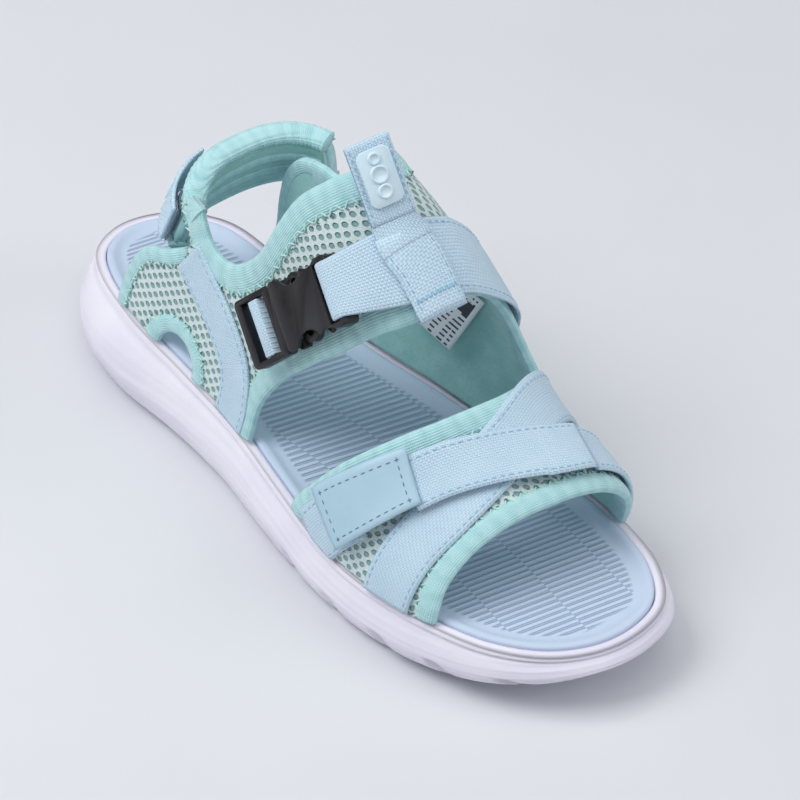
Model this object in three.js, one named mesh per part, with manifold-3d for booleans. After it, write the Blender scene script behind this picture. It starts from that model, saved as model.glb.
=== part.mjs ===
// Strappy sport sandal, right foot. Millimetres, +Z up, toe towards +Y, buckle side towards +X.
// The soft upper is drawn flat, as a pattern cutter does, and wrapped on a foot form:
// pattern coordinate 1 is the station y along the foot, coordinate 2 is the percentage of the
// girth from the lateral footbed edge (0) over the ridge of the foot (50) to the medial edge (100).
import * as THREE from 'three';
import { mergeVertices } from 'three/addons/utils/BufferGeometryUtils.js';
import { TessellateModifier } from 'three/addons/modifiers/TessellateModifier.js';
import Module from 'manifold-3d';

const wasm = await Module();
wasm.setup();

// Driving dimensions
const SOLE_LENGTH = 259;        // heel to toe over the rim
const SOLE_WIDTH = 98;          // widest, at the ball
const EDGE_INSET = 4;           // rim outline to footbed edge
const FOOTBED_THICKNESS = 4.5;
const BOARD_THICKNESS = 1.6;
const BOARD_INSET = 7;
const SIDE_BULGE = 3;           // how far the sole's side stands out past the rim
const HEEL_FLARE = 4;           // and how much further round the outer heel
const INSTEP_HEIGHT = 121;      // ridge of the form at y = 0
const BALL_HEIGHT = 66;         // ridge of the form at the rear of the forefoot strap
const WEBBING = 20;             // buckle webbing width
const WIDE_WEBBING = 19;        // forefoot webbing width
const WEBBING_THICKNESS = 1.2;
const LINING_THICKNESS = 1.0;
const MESH_THICKNESS = 1.5;
const BINDING_THICKNESS = 3.2;
const GAP = 0.6;                // between touching layers
const SEAM = 1.2;               // between a panel and its binding, side by side
const STRAP_STEP = 12;          // longest facet on a wrapped strap
const PANEL_STEP = 15;          // and on a panel, which lies under the straps
const BUCKLE_LENGTH = 47;
const BUCKLE_WIDTH = 24.5;
const BUCKLE_THICKNESS = 7;
const CLEARANCE = 0.35;         // between the buckle's moving pieces
const HEEL_PAD_THICKNESS = 5;
const TAB_WIDTH = 16;

const COLOUR = {
  sole: 0xe3dfee, footbed: 0xb6cce4, board: 0xd9d2c0, mint: 0xa6dccf, lining: 0x9fd3c9,
  mesh: 0xcfe3e0, webbing: 0xbfe0f4, patch: 0xa9c9dc, pile: 0x6f8fa8, black: 0x1e1a20,
  rubber: 0xdff0f8, label: 0xeef0f0,
};

const object = new THREE.Group();

function addMesh(name, geometry, colour, roughness = 0.85, parent = object) {
  const material = new THREE.MeshStandardMaterial({ color: colour, roughness, metalness: 0 });
  const mesh = new THREE.Mesh(geometry, material);
  mesh.name = name;
  parent.add(mesh);
  return mesh;
}

// Smooth value along y from a short list of [y, value] pairs
function along(pairs) {
  const slopes = pairs.map((pair, i) => {
    const before = pairs[Math.max(i - 1, 0)];
    const after = pairs[Math.min(i + 1, pairs.length - 1)];
    return (after[1] - before[1]) / (after[0] - before[0]);
  });
  return (y) => {
    const at = THREE.MathUtils.clamp(y, pairs[0][0], pairs[pairs.length - 1][0]);
    let i = pairs.findIndex((pair) => pair[0] >= at);
    i = Math.max(i, 1);
    const [y0, v0] = pairs[i - 1];
    const [y1, v1] = pairs[i];
    const span = y1 - y0;
    const t = (at - y0) / span;
    const h = t * t * (3 - 2 * t);
    const bend = (t * t * t - 2 * t * t + t) * slopes[i - 1] + (t * t * t - t * t) * slopes[i];
    return v0 + (v1 - v0) * h + bend * span;
  };
}

// Sole outline at the rim, anticlockwise from the heel, for a last 259 long and 98 wide
const RIM = [
  [0, -128.5], [18, -122], [30, -105], [36, -82], [36.5, -55], [39, -25], [45, 5], [49.5, 35], [49.5, 60],
  [46.5, 83], [39, 104], [25.5, 120], [8, 129], [-10, 130.5], [-26, 125.5], [-38, 111], [-44, 90], [-47.5, 65],
  [-46.5, 38], [-40.5, 8], [-34, -22], [-31, -50], [-31.5, -80], [-28.5, -105], [-18, -122],
].map(([x, y]) => new THREE.Vector3(x * SOLE_WIDTH / 98, y * SOLE_LENGTH / 259, 0));
const rimCurve = new THREE.CatmullRomCurve3(RIM, true, 'centripetal');
const STRETCH = SOLE_LENGTH / 259;

// The rim outline moved outwards by a distance, as evenly numbered points
function outline(outset, count = 240) {
  const points = rimCurve.getPoints(count).slice(0, count);
  return points.map((point, i) => {
    const next = points[(i + 1) % count];
    const last = points[(i + count - 1) % count];
    const tangent = next.clone().sub(last).normalize();
    return new THREE.Vector2(point.x + tangent.y * outset, point.y - tangent.x * outset);
  });
}

// Half width of an outline at y on one side (+1 lateral, -1 medial)
function edgeFinder(outset, side) {
  const points = outline(outset).filter((point) => point.x * side > 0).sort((a, b) => a.y - b.y);
  return (y) => {
    const i = THREE.MathUtils.clamp(points.findIndex((point) => point.y >= y), 1, points.length - 1);
    const [a, b] = [points[i - 1], points[i]];
    const t = THREE.MathUtils.clamp((y - a.y) / (b.y - a.y), 0, 1);
    return a.x + (b.x - a.x) * t;
  };
}

const scaleY = (pairs) => along(pairs.map(([y, value]) => [y * STRETCH, value]));
const footbedHeight = scaleY([[-130, 30], [-95, 35], [-50, 30], [0, 26.5], [45, 21], [90, 24], [130, 25]]);
const groundRise = scaleY([[-130, 9], [-112, 2], [-98, 0], [0, 0], [55, 0], [75, 1.5], [95, 5], [115, 10], [131, 15]]);
const groundHeight = (y) => Math.max(0, groundRise(y));
const lateralEdge = edgeFinder(-EDGE_INSET, 1);
const medialEdge = edgeFinder(-EDGE_INSET, -1);

// Foot form: each section is two Bezier arcs that meet at the ridge
const ridgeHeight = scaleY([
  [-100, INSTEP_HEIGHT + 39], [-60, INSTEP_HEIGHT + 31], [-30, INSTEP_HEIGHT + 17], [0, INSTEP_HEIGHT],
  [25, INSTEP_HEIGHT * 0.4 + BALL_HEIGHT * 0.75], [50, BALL_HEIGHT + 2], [80, BALL_HEIGHT - 11], [105, BALL_HEIGHT - 16],
]);
const ridgeX = scaleY([[-100, 0], [-30, 0], [0, -3], [25, -6], [50, -8], [105, -10]]);
const lateralLean = scaleY([[-100, 12], [-30, 12], [0, 11], [25, 8], [50, 3], [80, 0], [105, 0]]);
const medialLean = scaleY([[-100, 2], [-60, 1], [-30, -2], [0, -6], [25, -9], [50, -10], [105, -4]]);
const lateralRise = scaleY([[-100, 0.6], [0, 0.58], [25, 0.5], [50, 0.45], [105, 0.45]]);
const medialRise = scaleY([[-100, 0.6], [0, 0.62], [50, 0.58], [105, 0.55]]);
const lateralCrown = scaleY([[-100, 0.5], [25, 0.52], [105, 0.55]]);
const medialCrown = scaleY([[-100, 0.62], [0, 0.7], [50, 0.6], [105, 0.55]]);
const ARC_STEPS = 32;
const arcCache = new Map();

function sectionArc(y, side) {
  const key = `${y.toFixed(3)},${side}`;
  if (arcCache.has(key)) return arcCache.get(key);
  const lateral = side > 0;
  const base = new THREE.Vector3(lateral ? lateralEdge(y) : medialEdge(y), y, footbedHeight(y));
  const top = new THREE.Vector3(ridgeX(y), y, ridgeHeight(y));
  const height = top.z - base.z;
  const lean = THREE.MathUtils.degToRad(lateral ? lateralLean(y) : medialLean(y));
  const rise = height * (lateral ? lateralRise(y) : medialRise(y));
  const crown = (base.x - top.x) * (lateral ? lateralCrown(y) : medialCrown(y));
  const wall = new THREE.Vector3(base.x - side * Math.sin(lean) * rise, y, base.z + Math.cos(lean) * rise);
  const roof = new THREE.Vector3(top.x + crown, y, top.z);
  const points = new THREE.CubicBezierCurve3(base, wall, roof, top).getPoints(ARC_STEPS);
  const lengths = [0];
  points.slice(1).forEach((point, i) => lengths.push(lengths[i] + point.distanceTo(points[i])));
  const arc = { points, lengths, total: lengths[ARC_STEPS] };
  arcCache.set(key, arc);
  return arc;
}

const halfGirth = (y, percent) => sectionArc(y, percent <= 50 ? 1 : -1).total;

// Point on the form at station y and percentage of girth
function formPoint(y, percent) {
  const side = percent <= 50 ? 1 : -1;
  const arc = sectionArc(y, side);
  const wanted = (side > 0 ? percent : 100 - percent) / 50 * arc.total;
  const i = THREE.MathUtils.clamp(arc.lengths.findIndex((length) => length >= wanted), 1, ARC_STEPS);
  const t = (wanted - arc.lengths[i - 1]) / (arc.lengths[i] - arc.lengths[i - 1]);
  return arc.points[i - 1].clone().lerp(arc.points[i], t);
}

// Surface point and outward normal, for any surface given as a function of two numbers
function onSurface(surface, a, b, stepA, stepB) {
  const point = surface(a, b);
  const alongA = surface(a + stepA, b).sub(surface(a - stepA, b));
  const alongB = surface(a, b + stepB).sub(surface(a, b - stepB));
  return { point, normal: alongA.cross(alongB).normalize() };
}

function onForm(y, percent, lift = 0) {
  const { point, normal } = onSurface(formPoint, y, percent, 1.5, 1.2);
  return point.addScaledVector(normal, lift);
}

// Manifold solids from closed geometries and back
function solid(geometry) {
  const bare = geometry.clone();
  bare.deleteAttribute('normal');
  bare.deleteAttribute('uv');
  const merged = mergeVertices(bare, 1e-4);
  const triVerts = new Uint32Array(merged.index.array);
  return new wasm.Manifold(new wasm.Mesh({ numProp: 3, vertProperties: merged.attributes.position.array, triVerts }));
}

function toGeometry(manifold) {
  const mesh = manifold.getMesh();
  const geometry = new THREE.BufferGeometry();
  geometry.setAttribute('position', new THREE.BufferAttribute(mesh.vertProperties, mesh.numProp));
  geometry.setIndex(new THREE.BufferAttribute(mesh.triVerts, 1));
  return geometry;
}

// Closed solid through rows of corners, each row a loop of the same length
function tube(rows) {
  const size = rows[0].length;
  const faces = [];
  rows.slice(1).forEach((_, k) => {
    for (let i = 0; i < size; i += 1) {
      const j = (i + 1) % size;
      const [a, b, c, d] = [k * size + i, k * size + j, (k + 1) * size + j, (k + 1) * size + i];
      faces.push(a, c, b, a, d, c);
    }
  });
  const last = (rows.length - 1) * size;
  for (let i = 0; i < size / 2 - 1; i += 1) {
    const j = size - 1 - i;
    faces.push(i, i + 1, j, i + 1, j - 1, j);
    faces.push(last + i, last + j, last + i + 1, last + i + 1, last + j, last + j - 1);
  }
  const geometry = new THREE.BufferGeometry();
  const vertices = rows.flat().flatMap((point) => [point.x, point.y, point.z]);
  geometry.setAttribute('position', new THREE.BufferAttribute(new Float32Array(vertices), 3));
  geometry.setIndex(faces);
  if (volumeOf(geometry) < 0) {
    geometry.setIndex(faces.map((_, i) => faces[i - (i % 3) + 2 - (i % 3)]));
  }
  return geometry;
}

function volumeOf(geometry) {
  const { array } = geometry.attributes.position;
  const index = geometry.index.array;
  const corner = (i) => new THREE.Vector3().fromArray(array, index[i] * 3);
  let sum = 0;
  for (let i = 0; i < index.length; i += 3) {
    sum += corner(i).dot(corner(i + 1).cross(corner(i + 2))) / 6;
  }
  return sum;
}

// Flat pattern: a closed outline extruded from one height to another
function slab(points, low, high) {
  const shape = new THREE.Shape(points.map(([a, b]) => new THREE.Vector2(a, b)));
  const geometry = new THREE.ExtrudeGeometry(shape, { depth: high - low, bevelEnabled: false });
  geometry.translate(0, 0, low);
  return solid(geometry);
}

// Splits long facets, then wraps a flat pattern on a surface, with its height along the normal
function wrap(flat, place, step) {
  const open = toGeometry(flat).toNonIndexed();
  const fine = new TessellateModifier(step, 40).modify(open);
  const position = fine.attributes.position;
  for (let i = 0; i < position.count; i += 1) {
    const point = place(position.getX(i), position.getY(i), position.getZ(i));
    position.setXYZ(i, point.x, point.y, point.z);
  }
  fine.deleteAttribute('normal');
  return mergeVertices(fine, 1e-4);
}

// Patterns are drawn with 2 mm for each percent of girth, near true size at mid foot
const DRAW = 2;
const placeOnForm = (a, b, lift) => onForm(a, b / DRAW, lift);

// Smooth pattern line through a few [y, percent] points, in drawing units
function line(points, count = 3) {
  const curve = new THREE.SplineCurve(points.map(([y, percent]) => new THREE.Vector2(y * STRETCH, percent * DRAW)));
  return curve.getPoints((points.length - 1) * count).map((point) => [point.x, point.y]);
}

// The same line moved sideways by a true distance on the form (to its left when positive)
function moved(path, distance) {
  return path.map(([a, b], i) => {
    const [a0, b0] = path[Math.max(i - 1, 0)];
    const [a1, b1] = path[Math.min(i + 1, path.length - 1)];
    const trueScale = halfGirth(a, b / DRAW) / 50 / DRAW;
    const tangent = new THREE.Vector2(a1 - a0, (b1 - b0) * trueScale).normalize();
    return [a - tangent.y * distance, b + tangent.x * distance / trueScale];
  });
}

const band = (path, from, to) => [...moved(path, from), ...moved(path, to).reverse()];

// A band for cutting, which runs on past both ends of the line
function cutter(path, from, to, extra = 3) {
  const beyond = ([a, b], [c, d]) => {
    const length = Math.hypot(a - c, b - d);
    return [a + (a - c) * extra / length, b + (b - d) * extra / length];
  };
  const last = path.length - 1;
  return band([beyond(path[0], path[1]), ...path, beyond(path[last], path[last - 1])], from, to);
}

// Heights of the layers over the form
const LAYER = {
  lining: [0, LINING_THICKNESS],
  mesh: [LINING_THICKNESS + GAP, LINING_THICKNESS + GAP + MESH_THICKNESS],
  binding: [0, BINDING_THICKNESS],
};
const FIRST = Math.max(LAYER.mesh[1], BINDING_THICKNESS) + GAP;
LAYER.strap = [FIRST, FIRST + WEBBING_THICKNESS];
LAYER.over = [LAYER.strap[1] + GAP, LAYER.strap[1] + GAP + WEBBING_THICKNESS];
LAYER.top = [LAYER.over[1] + GAP, LAYER.over[1] + GAP + WEBBING_THICKNESS];

// Everything on the form stays between the two footbed edges
const FAR = 400;
const EDGE_LIFT = 0.8;          // drawing units that the upper starts above the rim
const onFoot = [[-FAR, EDGE_LIFT], [FAR, EDGE_LIFT], [FAR, 100 * DRAW - EDGE_LIFT], [-FAR, 100 * DRAW - EDGE_LIFT]];

function wrapped(name, points, layer, colour, cuts = [], step = STRAP_STEP) {
  let flat = slab(points, 0, 1).intersect(slab(onFoot, -1, 2));
  cuts.forEach((cut) => { flat = flat.subtract(slab(cut, -1, 2)); });
  const place = (a, b, t) => placeOnForm(a, b, layer[0] + (layer[1] - layer[0]) * t);
  return addMesh(name, wrap(flat, place, step), colour);
}

// Ribbon that follows a pattern line between two sideways distances, as rows of four corners
function ribbonRows(path, from, to, layer) {
  const sides = [moved(path, from), moved(path, (from + to) / 2), moved(path, to)];
  return path.map((_, i) => {
    const low = sides.map((side) => [...side[i], layer[0]]);
    const high = sides.map((side) => [...side[i], layer[1]]).reverse();
    return [...low, ...high].map(([a, b, lift]) => {
      const kept = THREE.MathUtils.clamp(b, EDGE_LIFT, 100 * DRAW - EDGE_LIFT);
      return placeOnForm(a, kept, lift);
    });
  });
}

const ribbon = (name, path, from, to, layer, colour) => addMesh(name, tube(ribbonRows(path, from, to, layer)), colour);

// Edges of the upper, as pattern lines
const EDGE = {
  forefootRear: line([[16, 0], [17.5, 3], [23, 8.5], [34, 20.5], [40.5, 29], [46, 39], [49, 51], [47.5, 62], [44.5, 71], [43, 77]]),
  forefootFront: line([[85, 0], [84.5, 4], [83, 11], [83, 21], [85, 33], [88.5, 46], [91, 60], [92, 78], [89, 100]]),
  instepLateral: line([[-13, 0], [-13, 7], [-6, 14.5], [3, 21], [13, 29], [20, 36.5], [24.5, 42], [26.5, 50]]),
  instepMedial: line([[26.5, 50], [26.5, 59], [28.5, 67], [33, 72.5], [38, 75.5], [43, 77]]),
  collarLateral: line([[-64, 23.5], [-60, 21.4], [-55, 20], [-48, 20], [-41, 22], [-34, 26.5], [-30, 33], [-26, 39], [-20, 44], [-13, 50]]),
  collarMedial: line([[-13, 50], [-20, 56], [-28, 63], [-34, 69], [-42, 74], [-50, 76], [-56, 76.5], [-62, 77.5]]),
  heelLateral: line([[-91, 0], [-90.5, 4], [-87.5, 8.5], [-82, 11.5], [-74, 13.5], [-67, 16]]),
  heelMedial: line([[-62, 77.5], [-69, 79.5], [-75, 83.5], [-77.5, 88.5], [-78, 94], [-80, 100]]),
};
const WIDTH = { collar: 9.5, forefoot: 7.5, instep: 8, heelEdge: 5.5, arch: 6.5 };

// Half-moon cut-out over the arch
const ARCH = { y: -58, radius: 9.5 };
function archLine(side, radius) {
  const trueScale = halfGirth(ARCH.y, side > 0 ? 0 : 100) / 50 / DRAW;
  const base = side > 0 ? 0 : 100 * DRAW;
  return Array.from({ length: 17 }, (_, i) => {
    const angle = Math.PI * i / 16;
    return [ARCH.y * STRETCH - radius * Math.cos(angle), base + side * radius * Math.sin(angle) / trueScale];
  });
}

// --- Sole ---

const RING_STATIONS = 26;

// How much of the outer heel's flare there is at y
const heelFlare = scaleY([[-131, 0], [-122, 0.5], [-108, 1], [-80, 1], [-50, 0.3], [-20, 0]]);

// Ring of points with matching lateral and medial stations
function soleRing(outset, height, flare = 0) {
  const points = outline(outset);
  const low = Math.min(...points.map((point) => point.y));
  const high = Math.max(...points.map((point) => point.y));
  const sides = [edgeFinder(outset, 1), edgeFinder(outset, -1)];
  const stations = Array.from({ length: RING_STATIONS }, (_, i) => {
    const t = (1 - Math.cos(Math.PI * (i + 0.5) / RING_STATIONS)) / 2;
    return low + (high - low) * t;
  });
  const at = (y, side) => new THREE.Vector3(sides[side](y) + (side === 0 ? flare * heelFlare(y) : 0), y, height(y));
  return [...stations.map((y) => at(y, 0)), ...stations.map((y) => at(y, 1)).reverse()];
}

// Closed solid through a stack of rings, capped by cross strips
function ringStack(rings) {
  const size = rings[0].length;
  const vertices = rings.flat().flatMap((point) => [point.x, point.y, point.z]);
  const faces = [];
  const quad = (a, b, c, d) => faces.push(a, b, c, a, c, d);
  rings.slice(1).forEach((_, k) => {
    for (let i = 0; i < size; i += 1) {
      const j = (i + 1) % size;
      quad(k * size + i, k * size + j, (k + 1) * size + j, (k + 1) * size + i);
    }
  });
  const top = (rings.length - 1) * size;
  for (let i = 0; i < size / 2 - 1; i += 1) {
    quad(i, size - 1 - i, size - 2 - i, i + 1);
    quad(top + i, top + i + 1, top + size - 2 - i, top + size - 1 - i);
  }
  const geometry = new THREE.BufferGeometry();
  geometry.setAttribute('position', new THREE.BufferAttribute(new Float32Array(vertices), 3));
  geometry.setIndex(faces);
  return geometry;
}

const RIM_DROP = 1.2;            // rim below the footbed's edge, where the upper tucks in
const FOOTBED_FIT = 0.4;        // footbed to the wall of its recess
const RECESS_INSET = EDGE_INSET + FOOTBED_FIT;
const rimHeight = (y) => footbedHeight(y) - RIM_DROP;
const recessFloor = (y) => footbedHeight(y) - FOOTBED_THICKNESS - BOARD_THICKNESS - 2 * GAP;

function buildSole() {
  const body = ringStack([
    soleRing(-5, groundHeight),
    soleRing(-1, (y) => groundHeight(y) + 1.5, HEEL_FLARE * 0.6),
    soleRing(SIDE_BULGE, (y) => groundHeight(y) + (rimHeight(y) - groundHeight(y)) * 0.45, HEEL_FLARE),
    soleRing(SIDE_BULGE * 0.5, (y) => groundHeight(y) + (rimHeight(y) - groundHeight(y)) * 0.8, HEEL_FLARE * 0.5),
    soleRing(0, rimHeight),
    soleRing(-RECESS_INSET, rimHeight),
    soleRing(-RECESS_INSET, recessFloor),
  ]);
  addMesh('unit_sole', body, COLOUR.sole, 0.75);
  const bed = ringStack([
    soleRing(-RECESS_INSET - FOOTBED_FIT, (y) => footbedHeight(y) - FOOTBED_THICKNESS),
    soleRing(-RECESS_INSET - FOOTBED_FIT, footbedHeight),
    soleRing(-RECESS_INSET - 6, (y) => footbedHeight(y) - 1.6),
  ]);
  addMesh('footbed', bed, COLOUR.footbed, 0.7);
  const boardTop = (y) => footbedHeight(y) - FOOTBED_THICKNESS - GAP;
  const board = ringStack([
    soleRing(-BOARD_INSET, (y) => boardTop(y) - BOARD_THICKNESS),
    soleRing(-BOARD_INSET, boardTop),
  ]);
  addMesh('lasting_board', board, COLOUR.board, 0.9);
}

// --- Forefoot strap ---

function buildForefoot() {
  const rear = EDGE.forefootRear;
  const front = EDGE.forefootFront;
  const seam = [43 * STRETCH, 100 * DRAW];
  const whole = [...rear, seam, ...front.slice().reverse()];
  const rearCut = cutter(rear, 3, -WIDTH.forefoot - SEAM);
  const frontCut = cutter(front, -3, WIDTH.forefoot + SEAM);
  wrapped('forefoot_lining', whole, LAYER.lining, COLOUR.lining, [rearCut, frontCut], PANEL_STEP);
  wrapped('forefoot_mesh', whole, LAYER.mesh, COLOUR.mesh, [rearCut, frontCut], PANEL_STEP);
  ribbon('forefoot_rear_binding', rear, 0, -WIDTH.forefoot, LAYER.binding, COLOUR.mint);
  ribbon('forefoot_front_binding', front, 0, WIDTH.forefoot, LAYER.binding, COLOUR.mint);
}

// Forefoot webbings: the closure crosses over the fixed one
const CLOSURE_HINGE = 64;       // percent of girth where the closure strap starts to lift
const TAPE = 14;                // hook and loop tape width
function buildForefootWebbing() {
  const fixed = line([[66, 0], [66, 12], [67, 24], [66, 36], [62, 50], [55, 64], [51, 78], [50, 100]]);
  ribbon('forefoot_fixed_webbing', fixed, WIDE_WEBBING / 2, -WIDE_WEBBING / 2, LAYER.strap, COLOUR.webbing);
  const anchor = line([[31, 0], [37, 7], [43, 13]]);
  wrapped('forefoot_anchor_webbing', band(anchor, WIDE_WEBBING / 2, -WIDE_WEBBING / 2), LAYER.strap, COLOUR.webbing);
  wrapped('forefoot_loop_tape', band(line([[42, 11.5], [47, 18.5]]), TAPE / 2, -TAPE / 2), LAYER.over, COLOUR.pile);
  const rest = line([[76, CLOSURE_HINGE + 0.6], [77, 80], [77, 100]]);
  wrapped('forefoot_closure_root', band(rest, WIDE_WEBBING / 2, -WIDE_WEBBING / 2), LAYER.over, COLOUR.webbing);
}

// Flap side of the closure: one strap with a moulded patch, a hook tape under the patch
function buildClosureFlap() {
  const path = line([[52.5, 23.5], [57, 30], [64, 39], [70, 47.5], [74, 55], [76, CLOSURE_HINGE]]);
  wrapped('forefoot_closure_webbing', band(path, WIDE_WEBBING / 2, -WIDE_WEBBING / 2), LAYER.top, COLOUR.webbing);
  const patch = line([[37, 8], [44.5, 16.5], [51.5, 25.5]]);
  const skin = [LAYER.top[1] + GAP, LAYER.top[1] + GAP + WEBBING_THICKNESS];
  wrapped('forefoot_closure_patch', band(patch, WIDE_WEBBING / 2 + 0.5, -WIDE_WEBBING / 2 - 0.5), skin, COLOUR.patch);
  wrapped('forefoot_hook_tape', band(line([[42.5, 12], [47.5, 18.5]]), TAPE / 2, -TAPE / 2), LAYER.top, COLOUR.pile);
}

// --- Quarters ---

const RIDGE_GAP = 0.3;          // percent of girth left open at the seam over the ridge
function buildQuarter(side) {
  const lateral = side > 0;
  const name = lateral ? 'lateral' : 'medial';
  const collar = lateral ? EDGE.collarLateral : EDGE.collarMedial;
  const heel = lateral ? EDGE.heelLateral : EDGE.heelMedial;
  const front = lateral ? EDGE.instepLateral : EDGE.instepMedial;
  const seam = [42 * STRETCH, 100 * DRAW];
  const corner = [42 * STRETCH, 77.6 * DRAW];
  const whole = lateral
    ? [...heel, ...collar, ...front.slice().reverse()]
    : [...front, corner, seam, ...heel.slice().reverse(), ...collar.slice().reverse()];
  const ridge = 50 * DRAW;
  const far = 60;
  const seamCut = lateral
    ? [[-far, ridge - RIDGE_GAP], [far, ridge - RIDGE_GAP], [far, ridge + far], [-far, ridge + far]]
    : [[-far, ridge - far], [far, ridge - far], [far, ridge + RIDGE_GAP], [-far, ridge + RIDGE_GAP]];
  const cuts = [
    cutter(collar, 3, -WIDTH.collar - SEAM),
    cutter(heel, 3, -WIDTH.heelEdge - SEAM),
    cutter(front, -3, WIDTH.instep + SEAM),
    archLine(side, ARCH.radius + WIDTH.arch + SEAM),
    seamCut,
  ];
  wrapped(`${name}_quarter_lining`, whole, LAYER.lining, COLOUR.lining, cuts, PANEL_STEP);
  wrapped(`${name}_quarter_mesh`, whole, LAYER.mesh, COLOUR.mesh, cuts, PANEL_STEP);
  wrapped(`${name}_collar_binding`, band(collar, 0, -WIDTH.collar), LAYER.binding, COLOUR.mint,
    [seamCut, cutter(heel, 3, -WIDTH.heelEdge - SEAM)]);
  wrapped(`${name}_heel_binding`, band(heel, 0, -WIDTH.heelEdge), LAYER.binding, COLOUR.mint);
  wrapped(`${name}_front_binding`, band(front, 0, WIDTH.instep), LAYER.binding, COLOUR.mint, [seamCut]);
  const arch = [...archLine(side, ARCH.radius), ...archLine(side, ARCH.radius + WIDTH.arch).reverse()];
  wrapped(`${name}_arch_binding`, arch, LAYER.binding, COLOUR.mint);
  const stay = lateral
    ? line([[-25, 0], [-25, 4], [-29, 8.5], [-41, 12], [-53, 14.2], [-63, 16]])
    : line([[-31, 100], [-31, 95], [-37, 90.5], [-48, 87], [-60, 84.5]]);
  wrapped(`${name}_stay_webbing`, band(stay, 8, -8), LAYER.strap, COLOUR.webbing);
}

// --- Heel strap ---

// Plan of the heel strap: a squared half ellipse round the back of the ankle, leaning over the footbed
const HEEL = {
  x: -3, y: -58 * STRETCH, lateral: 24.5, medial: 37, depth: 24, square: 2.6, lean: 0.01, start: 32, end: 160,
};
const heelMiddle = along([[0, 70], [90, 80], [180, 78]]);
const heelHeight = along([[0, 15], [45, 22], [90, 27], [180, 25]]);

// Point on the heel strap: angle from the lateral side (degrees), height over its middle line (mm)
function heelPoint(angle, up) {
  const turn = THREE.MathUtils.degToRad(angle);
  const power = 2 / HEEL.square;
  const c = Math.cos(turn);
  const taper = 1 - HEEL.lean * up;
  const reach = (c > 0 ? HEEL.lateral : HEEL.medial) * taper;
  const x = HEEL.x + reach * Math.sign(c) * Math.abs(c) ** power;
  const y = HEEL.y - HEEL.depth * taper * Math.abs(Math.sin(turn)) ** power;
  return new THREE.Vector3(x, y, heelMiddle(angle) + up);
}

function onHeel(angle, up, lift) {
  const { point, normal } = onSurface(heelPoint, angle, up, 2, 1);
  return point.addScaledVector(normal, -lift);
}

// A stretch of the heel strap between two angles, two shares of its height and two layers
function heelBand(name, angles, shares, layer, colour, steps = 14) {
  const rows = Array.from({ length: steps + 1 }, (_, i) => {
    const angle = angles[0] + (angles[1] - angles[0]) * i / steps;
    const half = heelHeight(angle) / 2;
    const ups = [shares[0], (shares[0] + shares[1]) / 2, shares[1]].map((share) => share * half);
    return [...ups.map((up) => onHeel(angle, up, layer[0])), ...ups.reverse().map((up) => onHeel(angle, up, layer[1]))];
  });
  return addMesh(name, tube(rows), colour);
}

const OVERLAY_SPLIT = 84;       // angle where the heel strap's outer webbing starts to lift
function buildHeelStrap() {
  const span = [HEEL.start, HEEL.end];
  const pad = [0, HEEL_PAD_THICKNESS];
  const inside = pad[0] - GAP - LINING_THICKNESS;
  const outside = pad[1] + GAP;
  heelBand('heel_strap_pad', span, [-0.72, 0.66], pad, COLOUR.mint);
  heelBand('heel_strap_lining', span, [-0.72, 0.66], [inside, -GAP], COLOUR.lining);
  heelBand('heel_strap_top_roll', span, [0.72, 1], [inside, outside + 0.6], COLOUR.mint);
  heelBand('heel_strap_bottom_binding', span, [-1, -0.78], [inside, outside], COLOUR.mint);
  const tape = [outside, outside + WEBBING_THICKNESS];
  heelBand('heel_overlay_root', [OVERLAY_SPLIT + 0.6, HEEL.end], [-0.7, 0.64], tape, COLOUR.webbing, 10);
  heelBand('heel_loop_tape', [HEEL.start + 4, 52], [-0.6, 0.5], tape, COLOUR.pile, 4);
  const hook = [tape[1] + GAP, tape[1] + GAP + 0.8];
  heelBand('heel_hook_tape', [HEEL.start + 4, 52], [-0.6, 0.5], hook, COLOUR.pile, 4);
  const flap = [hook[1] + GAP, hook[1] + GAP + WEBBING_THICKNESS];
  heelBand('heel_overlay_flap', [HEEL.start + 1, OVERLAY_SPLIT], [-0.7, 0.64], flap, COLOUR.webbing, 8);
}

// --- Instep webbing, keeper, pull tab and label ---

const INSTEP_LINE = [[9, 42], [12, 46], [15, 52], [18, 60], [18, 70], [14, 84], [12, 100]];

// The webbing comes up through the socket's slot, over its bar and across the instep
function buildInstep(frame) {
  const up = SOCKET.end - SOCKET.bar - SOCKET.slot / 2;
  const over = BUCKLE_THICKNESS / 2 + CLEARANCE + WEBBING_THICKNESS / 2 + 0.1;
  const path = [[up, -3], [up, 0], [up, 2.8], [up + 1.6, over], [SOCKET.end, over - 0.3]];
  frame.updateMatrixWorld();
  const start = path.map(([y, z], i) => {
    const [y0, z0] = path[Math.max(i - 1, 0)];
    const [y1, z1] = path[Math.min(i + 1, path.length - 1)];
    const out = new THREE.Vector2(z0 - z1, y1 - y0).setLength(WEBBING_THICKNESS / 2);
    const corner = (x, side) => new THREE.Vector3(x, y + side * out.x, z + side * out.y).applyMatrix4(frame.matrixWorld);
    const xs = [-WEBBING / 2, 0, WEBBING / 2];
    return [...xs.map((x) => corner(x, -1)), ...xs.reverse().map((x) => corner(x, 1))];
  });
  const rest = ribbonRows(line(INSTEP_LINE), WEBBING / 2, -WEBBING / 2, LAYER.over);
  addMesh('instep_webbing', tube([...start, ...rest]), COLOUR.webbing);
  const keeper = line([[5.3, 47.3], [8.5, 46.9], [13, 47.1], [19, 46.9], [26, 46.5]]);
  ribbon('keeper_webbing', keeper, TAB_WIDTH / 2, -TAB_WIDTH / 2, LAYER.top, COLOUR.webbing);
}

// --- Side-release buckle, in a frame of its own: x across, y from the male bar to the webbing slot, z out ---

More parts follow.
